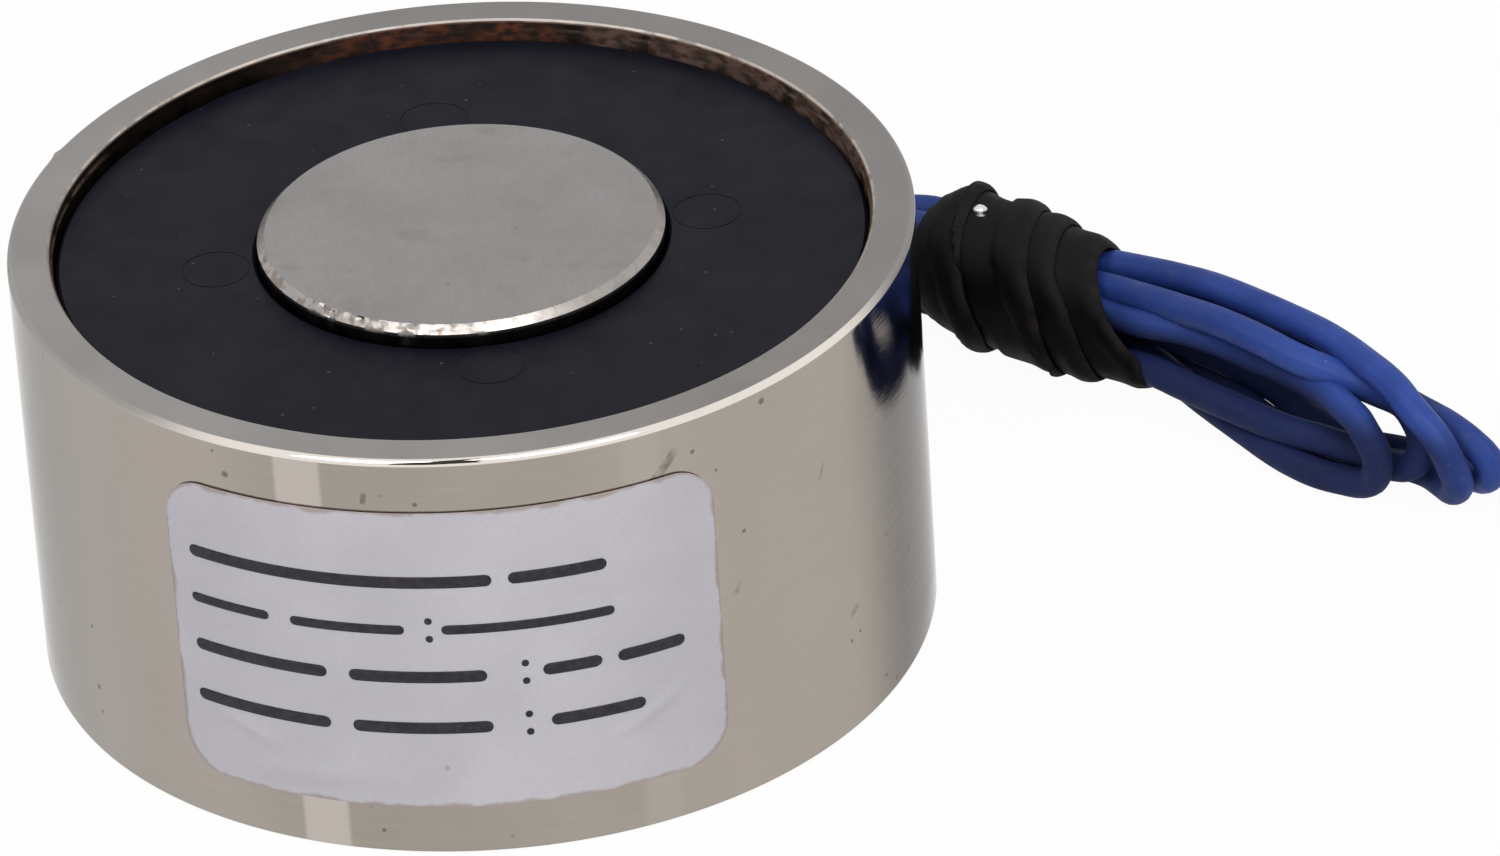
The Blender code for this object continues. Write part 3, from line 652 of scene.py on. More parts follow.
def makeLabel():
    shape = bmesh.new()
    edge = shape.verts.layers.float.new("edge")
    columns = []
    for step in range(-label["columns"], label["columns"] + 1):
        share = step / label["columns"]
        across = (math.sin(share * math.pi / 2) * 0.35 + share * 0.65) * (label["width"] / 2)
        inset = max(0.0, abs(across) - (label["width"] / 2 - label["corner"]))
        half = math.sqrt(max(0.0, label["corner"] ** 2 - inset ** 2))
        half += label["height"] / 2 - label["corner"]
        column = []
        for row in range(2 * label["rows"] + 1):
            rise = math.sin((row / label["rows"] - 1) * math.pi / 2) * half
            vert = shape.verts.new(onWall(across, label["middle"] + rise, labelFold(across, rise)))
            vert[edge] = max(0.0, labelInset(across, rise))
            column.append(vert)
        columns.append(column)
    joinColumns(shape, columns)
    sheet = finishMesh("label_sheet", shape, 40)
    thicken(sheet, label["thick"], 1.0)
    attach(sheet, "root")
    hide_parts("rating_label")
    return sheet


# Print: four rows of plain bars and dots on the label.
printing = {"step": 0.0003, "above": 0.000006, "thick": 0.000008, "dot": 0.00032, "dotRise": 0.00045}
printRows = [
    {"height": 0.0140, "tall": 0.00056, "bars": [(-0.0114, 0.0024), (0.0031, 0.0074)], "dots": []},
    {"height": 0.0116, "tall": 0.00044, "bars": [(-0.0115, -0.0076), (-0.0066, -0.0015), (0.0001, 0.0076)],
     "dots": [-0.0006]},
    {"height": 0.0092, "tall": 0.00056, "dots": [0.0034],
     "bars": [(-0.0115, -0.0051), (-0.0041, 0.0019), (0.0043, 0.0069), (0.0076, 0.0107)]},
    {"height": 0.0066, "tall": 0.00056, "bars": [(-0.0116, -0.0051), (-0.0041, 0.0020), (0.0045, 0.0087)],
     "dots": [0.0034]},
]


# One bar with round ends, as a thin raised sheet on the paper.
def addBar(shape, start, end, height, tall):
    length = end - start
    count = max(10, math.ceil(length / printing["step"]))
    columns = []
    for step in range(count + 1):
        across = start + length * (0.5 - 0.5 * math.cos(math.pi * step / count))
        near = min(across - start, end - across, tall / 2)
        half = math.sqrt(max(0.0, (tall / 2) ** 2 - (tall / 2 - near) ** 2)) + 0.00001
        column = []
        for row in range(5):
            rise = height + (row / 2 - 1) * half
            proud = labelFold(across, rise - label["middle"]) + label["thick"] + printing["above"]
            column.append(shape.verts.new(onWall(across, rise, proud)))
        columns.append(column)
    joinColumns(shape, columns)


def makePrint():
    shape = bmesh.new()
    for row in printRows:
        for start, end in row["bars"]:
            addBar(shape, start, end, row["height"], row["tall"])
        for start in row["dots"]:
            for rise in (-printing["dotRise"], printing["dotRise"]):
                addBar(shape, start, start + printing["dot"], row["height"] + rise, printing["dot"])
    marks = finishMesh("printed_bars", shape, 40)
    thicken(marks, printing["thick"], 1.0)
    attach(marks, "root")
    return marks


# Bare ends: tinned strands with a rounded end that stand out between two turns of tape.
tip = {
    "radius": 0.00036, "rounded": 0.0003, "least": 0.02, "uneven": 0.10, "spacing": 0.00005,
    "endA": (0.00335, -0.00005, 0.0043), "endB": (0.0078, 0.0031, -0.0006),
}


def makeTip(letter, foot, head):
    line = smoothLine([foot, foot.lerp(head, 0.5), head], tip["spacing"])[0]
    radii = []
    for point in line:
        left = min(1.0, (head - point).length / tip["rounded"])
        radius = tip["radius"] * math.sqrt(max(tip["least"], 1 - (1 - left) ** 2))
        radii.append(radius * (1 + tip["uneven"] * noise.noise(point * 5000)))
    end = sweptTube("bare_end_" + letter, line, radii, 32)
    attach(end, "root")
    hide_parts("lead_tip_" + letter)
    return end


# Ways to add shader nodes and to join them.
class Nodes:
    def __init__(self, tree):
        self.tree = tree

    def node(self, kind, **settings):
        node = self.tree.nodes.new("ShaderNode" + kind)
        for word, value in settings.items():
            setattr(node, word, value)
        return node

    def feed(self, socket, value):
        if isinstance(value, bpy.types.NodeSocket):
            self.tree.links.new(value, socket)
        else:
            socket.default_value = value

    def calc(self, operation, *values):
        node = self.node("Math", operation=operation)
        for socket, value in zip(node.inputs, values):
            self.feed(socket, value)
        return node.outputs[0]

    def chain(self, operation, first, others):
        for other in others:
            first = self.calc(operation, first, other)
        return first

    def plus(self, first, *others):
        return self.chain("ADD", first, others)

    def times(self, first, *others):
        return self.chain("MULTIPLY", first, others)

    def most(self, first, *others):
        return self.chain("MAXIMUM", first, others)

    def minus(self, first, second):
        return self.calc("SUBTRACT", first, second)


# Finishes. Each one is a material, with short ways to lay one pattern over another.
class Finish(Nodes):
    def __init__(self, name, roughness, metallic, **fixed):
        self.material = bpy.data.materials.new(name)
        self.material.use_nodes = True
        super().__init__(self.material.node_tree)
        self.shader = self.tree.nodes["Principled BSDF"]
        self.shader.inputs["Roughness"].default_value = roughness
        self.shader.inputs["Metallic"].default_value = metallic
        for word, value in fixed.items():
            self.shader.inputs[word.replace("_", " ")].default_value = value
        self.place = self.node("TexCoord").outputs["Object"]

    def scaled(self, place, scale, shift=0.0):
        mapping = self.node("Mapping")
        self.feed(mapping.inputs["Vector"], place)
        mapping.inputs["Location"].default_value = (shift, shift * 0.7, shift * 1.3)
        mapping.inputs["Scale"].default_value = scale
        return mapping.outputs["Vector"]

    # Noise whose features are of one size in metres, drawn out by stretch along each axis.
    def noise(self, size, detail, stretch=(1, 1, 1), place=None, shift=0.0):
        pattern = self.node("TexNoise")
        scale = [1 / (size * longer) for longer in stretch]
        self.feed(pattern.inputs["Vector"], self.scaled(place or self.place, scale, shift))
        pattern.inputs["Scale"].default_value = 1.0
        pattern.inputs["Detail"].default_value = detail
        return pattern.outputs[0]

    # Small separate spots: 1 at the middle of each, for a share of the cells.
    def spots(self, size, share, spread):
        pattern = self.node("TexVoronoi")
        self.feed(pattern.inputs["Vector"], self.scaled(self.place, [1 / size] * 3))
        pattern.inputs["Scale"].default_value = 1.0
        near = self.ramp(pattern.outputs["Distance"], spread, spread * 0.4)
        parts = self.node("SeparateColor")
        self.feed(parts.inputs[0], pattern.outputs["Color"])
        return self.times(near, self.calc("LESS_THAN", parts.outputs[0], share))

    # A soft step: toLow at low, toHigh at high, and level beyond them.
    def ramp(self, value, low, high, toLow=0.0, toHigh=1.0):
        node = self.node("MapRange", interpolation_type="SMOOTHSTEP")
        for socket, given in zip(node.inputs, (value, low, high, toLow, toHigh)):
            self.feed(socket, given)
        return node.outputs[0]

    # A noise pattern has most of its values between 0.3 and 0.7.
    def across(self, pattern, toLow, toHigh):
        return self.ramp(pattern, 0.3, 0.7, toLow, toHigh)

    # 1 where a value is within half of a middle, and 0 beyond a soft margin.
    def near(self, value, middle, half, soft):
        return self.ramp(self.calc("ABSOLUTE", self.minus(value, middle)), half + soft, half)

    def mix(self, share, first, second):
        node = self.node("Mix", data_type="RGBA", blend_type="MIX")
        self.feed(node.inputs[0], share)
        self.feed(node.inputs[6], first)
        self.feed(node.inputs[7], second)
        return node.outputs[2]

    def cloudy(self, pattern, tones):
        return self.mix(self.across(pattern, 0.0, 1.0), *tones)

    def stain(self, tone, mask, strength, colour):
        return self.mix(self.times(mask, strength), tone, colour)

    def axes(self, place):
        parts = self.node("SeparateXYZ")
        self.feed(parts.inputs[0], place)
        return parts.outputs

    # Radius from the axis, height, and turn round the axis in degrees.
    def round(self):
        x, y, z = self.axes(self.place)
        radius = self.calc("SQRT", self.plus(self.times(x, x), self.times(y, y)))
        return radius, z, self.times(self.calc("ARCTAN2", y, x), 180 / math.pi)

    def attribute(self, name):
        return self.node("Attribute", attribute_name=name).outputs["Fac"]

    def colour(self, value):
        self.feed(self.shader.inputs["Base Color"], value)

    def rough(self, value):
        self.feed(self.shader.inputs["Roughness"], value)

    def bumps(self, height, depth):
        node = self.node("Bump")
        node.inputs["Strength"].default_value = 1.0
        node.inputs["Distance"].default_value = depth
        self.feed(node.inputs["Height"], height)
        self.feed(self.shader.inputs["Normal"], node.outputs["Normal"])

    def onto(self, *objs):
        for obj in objs:
            obj.data.materials.clear()
            obj.data.materials.append(self.material)


def rgb(red, green, blue):
    return (red, green, blue, 1.0)


# Nickel plate on turned steel: a bright wall; duller faces, painted darker than the wall as painted shade; a
# painted highlight on the rim's outer edge at the front; a worn inner chamfer; a bore painted near black as
# painted shade, with rust in it.
nickel = {
    "wall": (rgb(0.330, 0.296, 0.256), rgb(0.368, 0.330, 0.286)),
    "face": (rgb(0.272, 0.262, 0.255), rgb(0.304, 0.293, 0.285)), "faceRightShade": rgb(0.222, 0.210, 0.204),
    "brushed": rgb(0.5, 0.46, 0.42), "grime": rgb(0.055, 0.045, 0.035),
    "edge": rgb(0.80, 0.74, 0.68), "chamfer": rgb(0.52, 0.46, 0.40), "tint": rgb(0.7, 0.7, 0.7),
    "bore": rgb(0.040, 0.026, 0.021), "boreRight": rgb(0.066, 0.050, 0.042), "ledge": rgb(0.40, 0.34, 0.29),
    "rust": (rgb(0.016, 0.007, 0.005), rgb(0.135, 0.040, 0.018)), "rustPale": rgb(0.150, 0.108, 0.088),
}
# Painted reflections: lighter and darker bands by their middle and half width in degrees round the wall,
# softness, strength and colour.
paintedReflectionBands = [
    (-113.4, 2.6, 0.8, 0.80, rgb(0.54, 0.49, 0.45)), (-70.3, 1.6, 1.4, 0.45, rgb(0.44, 0.40, 0.36)),
    (-138.0, 9.0, 14.0, 0.50, rgb(0.41, 0.365, 0.335)), (-159.0, 8.0, 12.0, 0.40, rgb(0.42, 0.40, 0.39)),
    (-55.0, 12.0, 14.0, 0.40, rgb(0.42, 0.375, 0.33)), (-12.0, 12.0, 14.0, 0.90, rgb(0.19, 0.17, 0.16)),
]
# Dark smudges on the wall: turn, height, lean, half length, half width and strength.
smudges = [
    (-67.8, 0.0177, 48, 0.00110, 0.00014, 1.0), (-105.0, 0.0181, 80, 0.00030, 0.00008, 0.9),
    (-112.0, 0.0172, 15, 0.00060, 0.00010, 0.5), (-109.0, 0.0166, -20, 0.00070, 0.00012, 0.45),
    (-58.0, 0.0106, 60, 0.00030, 0.00008, 0.5), (-38.0, 0.0060, 30, 0.00035, 0.00010, 0.6),
    (-128.0, 0.0152, 35, 0.00060, 0.00008, 0.35), (-43.0, 0.0141, 70, 0.00045, 0.00006, 0.4),
]


def wallSmudges(made, turn, height):
    total = 0.0
    for middle, level, lean, long, wide, strength in smudges:
        across = made.times(made.minus(turn, middle), math.radians(1) * cup["radius"])
        rise = made.minus(height, level)
        cosine, sine = math.cos(math.radians(lean)), math.sin(math.radians(lean))
        way = made.plus(made.times(across, cosine), made.times(rise, sine))
        off = made.minus(made.times(rise, cosine), made.times(across, sine))
        one = made.times(made.near(way, 0.0, long * 0.6, long * 0.6), made.near(off, 0.0, wide, wide))
        total = made.plus(total, made.times(one, strength))
    ragged = made.ramp(made.noise(0.0006, 4.0, shift=9.0), 0.3, 0.6, 0.25, 1.0)
    return made.times(total, ragged)


# The wall with its bands of painted reflection, the flat rim above it with painted shade, and the dirt on
# both.
def wallTone(made, height, turn):
    cloud = made.noise(0.009, 3.0, (1, 1, 2.2))
    wall = made.cloudy(cloud, nickel["wall"])
    # Painted reflections: lighter and darker bands round the wall.
    for middle, half, soft, strength, colour in paintedReflectionBands:
        wall = made.stain(wall, made.near(turn, middle, half, soft), strength, colour)
    # Painted shade: the flat faces take a darker tone than the wall.
    face = made.cloudy(cloud, nickel["face"])
    # Painted shade: the rim face is darker towards its right side.
    face = made.stain(face, made.near(turn, 20.0, 75.0, 40.0), 0.75, nickel["faceRightShade"])
    tone = made.mix(made.ramp(height, cup["height"] - 0.0003, cup["height"] - 0.00005), wall, face)
    brush = made.noise(0.0005, 2.0, (8, 8, 0.3))
    tone = made.mix(made.ramp(brush, 0.3, 0.8, 0.0, 0.10), tone, nickel["brushed"])
    grime = made.plus(made.spots(0.0011, 0.035, 0.20), made.spots(0.0005, 0.02, 0.30))
    grime = made.plus(grime, wallSmudges(made, turn, height))
    return made.stain(tone, grime, 0.6, nickel["grime"])


# How far the plating of the inner chamfer is worn through to bright steel, with painted shade that dims it
# at the back and on the left.
def chamferWearAndShade(made, turn):
    worn = made.ramp(made.noise(0.0011, 4.0, shift=8.0), 0.36, 0.52, 0.15, 1.0)
    # Painted shade: the chamfer is dimmed at the back and on the left.
    duller = made.ramp(made.near(turn, 88.0, 16.0, 16.0), 0.0, 1.0, 1.0, 0.35)
    left = made.most(made.ramp(turn, 155.0, 168.0), made.ramp(turn, -158.0, -168.0))
    return made.times(worn, duller, made.ramp(left, 0.0, 1.0, 1.0, 0.5))


# Where the bore has rusted, and the colour of the rust.
def boreRust(made, turn, inside, patch):
    backward = made.times(made.ramp(turn, -12.0, 12.0), made.ramp(turn, 125.0, 95.0, 0.12, 1.0))
    rusty = made.times(inside, backward, made.ramp(patch, 0.30, 0.55, 0.3, 1.0))
    crust = made.noise(0.0007, 6.0, (1, 1, 0.5), shift=1.0)
    rust = made.mix(made.ramp(crust, 0.35, 0.68), *nickel["rust"])
    paler = made.times(made.near(turn, 38.0, 26.0, 12.0), made.ramp(crust, 0.40, 0.60, 0.2, 0.7))
    return rusty, made.mix(paler, rust, nickel["rustPale"])


def nickelFinish():
    made = Finish(
        "bright nickel plate", 0.1, 1.0, Anisotropic=0.3, Anisotropic_Rotation=0.25,
        Specular_Tint=nickel["tint"],
    )
    tangent = made.node("Tangent", direction_type="RADIAL", axis="Z")
    made.feed(made.shader.inputs["Tangent"], tangent.outputs["Tangent"])
    radius, height, turn = made.round()
    wall, bore, top = cup["radius"], cup["bore"], cup["height"]
    patch = made.noise(0.0016, 5.0)
    tone = wallTone(made, height, turn)

    # Painted highlight: the middle of the rim's outer rounding is painted bright, most at the front.
    edge = made.times(
        made.ramp(radius, wall - 0.00026, wall - 0.00021), made.ramp(height, top - 0.00029, top - 0.00025))
    paintedEdgeHighlight = made.times(edge, made.ramp(made.near(turn, -80.0, 37.0, 26.0), 0.0, 1.0, 0.05, 1.0))
    tone = made.mix(made.times(paintedEdgeHighlight, made.ramp(patch, 0.25, 0.45, 0.8, 1.0)), tone, nickel["edge"])

    chamfer = made.times(
        made.ramp(radius, bore + 0.00026, bore + 0.00023), made.ramp(height, top - 0.00016, top - 0.00013))
    # Wear of the chamfer, with painted shade at the back and left.
    worn = chamferWearAndShade(made, turn)
    tone = made.stain(tone, chamfer, worn, nickel["chamfer"])

    # Painted shade: the bore below the rim is painted near black; rust lies over it.
    inside = made.times(
        made.ramp(radius, bore + 0.00017, bore + 0.00012), made.ramp(height, top - 0.0028, top - 0.0020))
    # Painted highlight: a thin bright line along the bore's ledge.
    ledge = made.near(height, top - 0.00048, 0.00004, 0.00003)
    tone = made.stain(tone, inside, 0.92, made.stain(nickel["bore"], ledge, worn, nickel["ledge"]))
    # Painted shade: the bore is a little lighter towards the back left.
    tone = made.stain(tone, inside, made.near(turn, 125.0, 18.0, 14.0), nickel["boreRight"])
    rusty, rust = boreRust(made, turn, inside, patch)
    made.colour(made.mix(rusty, tone, rust))
    made.feed(made.shader.inputs["Metallic"], made.minus(1.0, made.times(rusty, 0.85)))

    polished = made.ramp(made.noise(0.004, 2.0), 0.2, 0.8, 0.07, 0.13)
    polished = made.times(polished, made.ramp(edge, 0.0, 1.0, 1.0, 0.45))
    duller = made.ramp(height, top - 0.0003, top - 0.00005, 0.0, 0.10)
    duller = made.times(duller, made.ramp(edge, 0.0, 1.0, 1.0, 0.0))
    made.rough(made.plus(polished, duller, made.most(made.times(rusty, 0.5), made.times(chamfer, 0.32))))
    lines = made.noise(0.00022, 2.0, (6, 6, 0.3), shift=2.0)
    waves = made.times(made.noise(0.006, 1.0, (1, 1, 1.5), shift=5.0), 6.0)
    made.bumps(made.plus(lines, waves, made.times(patch, rusty, 20.0)), 0.0000025)
    return made


# Ground and plated pole face: satin grain, a faint stain, a bright worn edge, and painted shade down its
# side.
pole = {
    "face": (rgb(0.262, 0.251, 0.246), rgb(0.292, 0.281, 0.276)), "grain": rgb(0.20, 0.19, 0.19),
    "stain": rgb(0.19, 0.165, 0.145), "speck": rgb(0.12, 0.11, 0.10), "edge": rgb(0.38, 0.352, 0.33),
    "pit": rgb(0.15, 0.108, 0.082), "sideShade": rgb(0.020, 0.018, 0.017),
}


def poleFinish():
    made = Finish("satin plated steel", 0.32, 1.0)
    radius, height, turn = made.round()
    rim, top = core["radius"], cup["height"]
    tone = made.cloudy(made.noise(0.005, 4.0), pole["face"])
    grain = made.noise(0.00012, 2.0, (1, 5, 1))
    tone = made.mix(made.across(grain, 0.0, 0.16), tone, pole["grain"])
    stain = made.ramp(made.noise(0.0022, 2.0, shift=4.0), 0.60, 0.72)
    tone = made.stain(tone, stain, 0.28, pole["stain"])
    tone = made.stain(tone, made.spots(0.0008, 0.05, 0.16), 0.6, pole["speck"])
    edge = made.times(
        made.ramp(radius, rim - 0.00034, rim - 0.00032), made.ramp(height, top - 0.00039, top - 0.00034))
    bright = made.ramp(made.noise(0.0016, 4.0, shift=3.0), 0.3, 0.5, 0.5, 1.0)
    tone = made.stain(tone, edge, bright, pole["edge"])
    pits = made.ramp(made.noise(0.00045, 4.0, shift=6.0), 0.50, 0.58)
    front = made.ramp(made.near(turn, -122.0, 30.0, 30.0), 0.0, 1.0, 0.25, 0.9)
    tone = made.stain(tone, made.times(pits, front), made.times(edge, 0.60), pole["pit"])
    # Painted shade: the pole's side below its chamfer is painted near black.
    made.colour(made.stain(tone, made.ramp(height, top - 0.0004, top - 0.00055), 0.95, pole["sideShade"]))
    made.rough(made.plus(made.times(edge, 0.03), made.across(made.noise(0.0009, 3.0), 0.27, 0.38)))
    made.bumps(made.plus(grain, made.times(made.noise(0.0006, 3.0), 1.5)), 0.000004)
    return made


# Moulded black plastic: faint flow marks, dust and fine scratches.
plastic = {
    "body": (rgb(0.0050, 0.0053, 0.0098), rgb(0.0070, 0.0072, 0.0125)),
    "dust": rgb(0.16, 0.16, 0.17), "scratch": rgb(0.14, 0.14, 0.16),
}


def bobbinFinish():
    made = Finish("black moulded plastic", 0.36, 0.0, Specular_IOR_Level=0.05)
    flow = made.noise(0.004, 4.0, (1, 2.2, 1))
    tone = made.cloudy(flow, plastic["body"])
    tone = made.stain(tone, made.spots(0.0007, 0.09, 0.13), 0.35, plastic["dust"])
    scratch = made.ramp(made.noise(0.0009, 1.0, (1, 5, 1), shift=6.0), 0.74, 0.80)
    made.colour(made.stain(tone, scratch, 0.05, plastic["scratch"]))
    made.rough(made.across(made.noise(0.0018, 3.0), 0.30, 0.44))
    made.bumps(made.plus(flow, made.times(made.noise(0.0002, 2.0), 0.4)), 0.000012)
    return made


# Soft wire insulation: even blue with faint drawing streaks and a satin skin. It is darkened with painted
# shade where the hank lies low, and a little where it comes out of the tape.
insulation = {
    "body": (rgb(0.022, 0.055, 0.262), rgb(0.033, 0.078, 0.345)), "streak": rgb(0.016, 0.036, 0.19),
    "worn": rgb(0.10, 0.11, 0.17), "dust": rgb(0.25, 0.24, 0.26), "shadeTone": rgb(0.0045, 0.0060, 0.023),
    "unshadedAbove": 0.0053, "shadedBelow": 0.0038, "unshadedBeyond": 0.0455, "shadedUpTo": 0.0415,
    "tapeShade": 0.28, "tapeShadeFrom": 0.0330, "tapeShadeTo": 0.0400,
}


def insulationFinish():
    made = Finish("blue wire insulation", 0.5, 0.0, Specular_IOR_Level=0.22)
    look = insulation
    cloud = made.noise(0.003, 4.0)
    tone = made.cloudy(cloud, look["body"])
    way = made.node("UVMap", uv_map="way").outputs["UV"]
    streak = made.noise(0.05, 2.0, (1, 12, 1), place=way)
    tone = made.mix(made.ramp(streak, 0.35, 0.7, 0.0, 0.35), tone, look["streak"])
    worn = made.ramp(made.noise(0.0011, 5.0, shift=2.0), 0.62, 0.72)
    tone = made.stain(tone, worn, 0.25, look["worn"])
    tone = made.stain(tone, made.spots(0.0006, 0.08, 0.14), 0.35, look["dust"])
    axes = made.axes(made.place)
    x, height = axes[0], axes[2]
    # Painted shade: darker where the hank lies low, and near the tape.
    low = made.times(
        made.ramp(height, look["unshadedAbove"], look["shadedBelow"]),
        made.ramp(x, look["unshadedBeyond"], look["shadedUpTo"], 0.15, 1.0))
    tapeShadeMask = made.ramp(x, look["tapeShadeTo"], look["tapeShadeFrom"], 0.0, look["tapeShade"])
    hankShade = made.most(made.times(low, made.across(cloud, 0.76, 0.88)), tapeShadeMask)
    made.colour(made.mix(hankShade, tone, look["shadeTone"]))
    made.rough(made.plus(made.times(low, 0.22), made.across(made.noise(0.0008, 3.0), 0.46, 0.60)))
    made.bumps(made.plus(streak, made.times(made.noise(0.00025, 2.0), 0.5)), 0.00001)
    return made


# Insulating tape: black and matt, with a painted highlight that makes it paler where it faces up, and dust
# on the edge of each turn.
tapeLook = {
    "body": (rgb(0.0022, 0.0022, 0.0025), rgb(0.0048, 0.0047, 0.0050)), "paintedTopSheen": rgb(0.017, 0.017, 0.018),
    "dust": rgb(0.036, 0.029, 0.025), "speck": rgb(0.12, 0.115, 0.11), "dustyEdge": 0.0006,
}


def tapeFinish():
    made = Finish("black insulating tape", 0.5, 0.0, Specular_IOR_Level=0.035)
    cloud = made.noise(0.0022, 4.0)
    tone = made.cloudy(cloud, tapeLook["body"])
    # Painted highlight: faces turned up are painted paler.
    paintedTopSheen = made.ramp(made.axes(made.node("NewGeometry").outputs["Normal"])[2], 0.35, 0.95)
    tone = made.stain(tone, paintedTopSheen, 0.7, tapeLook["paintedTopSheen"])
    dusty = made.ramp(made.attribute("edge"), tapeLook["dustyEdge"], 0.0)
    dusty = made.times(dusty, made.ramp(made.noise(0.0009, 3.0), 0.35, 0.65, 0.25, 1.0))
    tone = made.stain(tone, dusty, 0.4, tapeLook["dust"])
    made.colour(made.stain(tone, made.spots(0.0008, 0.05, 0.16), 0.4, tapeLook["speck"]))
    made.rough(made.across(made.noise(0.0012, 3.0), 0.54, 0.72))
    made.bumps(made.plus(cloud, made.times(made.noise(0.00018, 2.0), 0.35)), 0.00004)
    return made


# Paper label: cool white, fibres, brown dirt along its edge and faint specks.
paper = {
    "body": (rgb(0.480, 0.464, 0.505), rgb(0.535, 0.519, 0.558)), "fibre": rgb(0.38, 0.37, 0.40),
    "dirt": rgb(0.25, 0.17, 0.11), "speck": rgb(0.30, 0.19, 0.10), "dirtWidth": 0.00022,
}


def paperFinish():
    made = Finish("soiled white label", 0.62, 0.0, Specular_IOR_Level=0.3)
    cloud = made.noise(0.006, 3.0)
    tone = made.cloudy(cloud, paper["body"])
    fibre = made.noise(0.00022, 3.0)
    tone = made.mix(made.across(fibre, 0.0, 0.12), tone, paper["fibre"])
    ragged = made.plus(made.attribute("edge"), made.across(made.noise(0.0012, 4.0), -0.00010, 0.00012))
    tone = made.mix(made.ramp(ragged, paper["dirtWidth"], 0.00002, 0.0, 0.55), tone, paper["dirt"])
    somewhere = made.ramp(made.noise(0.006, 1.0, shift=7.0), 0.45, 0.6)
    specks = made.times(made.spots(0.0013, 0.06, 0.14), somewhere)
    made.colour(made.stain(tone, specks, 0.5, paper["speck"]))
    made.rough(made.across(fibre, 0.55, 0.70))
    made.bumps(made.plus(fibre, cloud), 0.00001)
    return made


ink = {"body": (rgb(0.016, 0.014, 0.020), rgb(0.034, 0.030, 0.040)), "speck": rgb(0.25, 0.24, 0.27)}


def inkFinish():
    made = Finish("dark printing ink", 0.5, 0.0, Specular_IOR_Level=0.25)
    thin = made.noise(0.0003, 3.0)
    tone = made.mix(made.ramp(thin, 0.35, 0.7), *ink["body"])
    made.colour(made.stain(tone, made.spots(0.0004, 0.05, 0.2), 0.3, ink["speck"]))
    made.rough(made.across(thin, 0.45, 0.6))
    return made


# One rule for the plainer materials: two tones in clouds, specks, uneven gloss and grain.
def mixedFinish(name, tones, speck, gloss, grain, metallic, depth):
    made = Finish(name, gloss, metallic)
    cloud = made.noise(grain * 8, 4.0)
    fine = made.noise(grain, 3.0)
    tone = made.mix(made.ramp(fine, 0.35, 0.75, 0.0, 0.25), made.cloudy(cloud, tones), speck)
    made.colour(made.stain(tone, made.spots(grain * 5, 0.08, 0.15), 0.4, speck))
    made.rough(made.across(fine, gloss - 0.06, gloss + 0.08))
    made.bumps(made.plus(fine, cloud), depth)
    return made


# Their names, two tones, specks, gloss, grain, metal and depth, and the nodes inside the cup.
plainFinishes = [
    ("amber film", (rgb(0.52, 0.30, 0.05), rgb(0.66, 0.42, 0.10)), rgb(0.40, 0.2, 0.04),
     0.3, 0.0004, 0.0, 0.00001, ["winding_wrap"]),
    ("copper wire", (rgb(0.45, 0.17, 0.06), rgb(0.58, 0.25, 0.1)), rgb(0.3, 0.1, 0.03),
     0.3, 0.0001, 1.0, 0.00001, ["coil_start_tail", "coil_finish_tail"]),
    ("solder", (rgb(0.55, 0.55, 0.56), rgb(0.68, 0.68, 0.69)), rgb(0.3, 0.3, 0.3),
     0.3, 0.0002, 1.0, 0.00001, ["solder_splice_a", "solder_splice_b"]),
    ("shrink sleeve", (rgb(0.014, 0.014, 0.015), rgb(0.03, 0.03, 0.03)), rgb(0.08, 0.08, 0.08),
     0.45, 0.0002, 0.0, 0.00001, ["splice_sleeve_a", "splice_sleeve_b"]),
    ("cast resin", (rgb(0.012, 0.011, 0.010), rgb(0.022, 0.02, 0.018)), rgb(0.1, 0.09, 0.08),
     0.28, 0.0002, 0.0, 0.00001, ["exit_seal"]),
]


def finishHidden():
    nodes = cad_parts
    windingFinish().onto(nodes["coil_winding"])
    for *look, names in plainFinishes:
        mixedFinish(*look).onto(*[nodes[name] for name in names])


def tinFinish():
    tones = (rgb(0.62, 0.62, 0.64), rgb(0.78, 0.78, 0.80))
    return mixedFinish("tinned wire end", tones, rgb(0.4, 0.4, 0.4), 0.3, 0.0001, 1.0, 0.00002)


# Winding: many turns of fine enamelled wire, seen as close rings along its height.
winding = {
    "wire": 0.00016, "body": (rgb(0.16, 0.05, 0.015), rgb(0.60, 0.24, 0.08)), "dull": rgb(0.30, 0.09, 0.03),
}


def windingFinish():
    made = Finish("enamelled copper winding", 0.3, 1.0)
    height = made.axes(made.place)[2]
    ring = made.calc("SINE", made.times(height, 2 * math.pi / winding["wire"]))
    tone = made.mix(made.ramp(ring, -1.0, 1.0), *winding["body"])
    cloud = made.noise(0.003, 3.0)
    made.colour(made.mix(made.across(cloud, 0.0, 0.4), tone, winding["dull"]))
    made.rough(made.across(cloud, 0.25, 0.4))
    made.bumps(made.plus(ring, cloud), 0.00003)
    return made


# Floor: pale paper that reads white to the camera and in the metal, and keeps the shadow.
sweep = {"half": 6.0, "below": 0.00002, "glow": 0.96, "body": (rgb(0.80, 0.80, 0.80), rgb(0.83, 0.83, 0.83))}


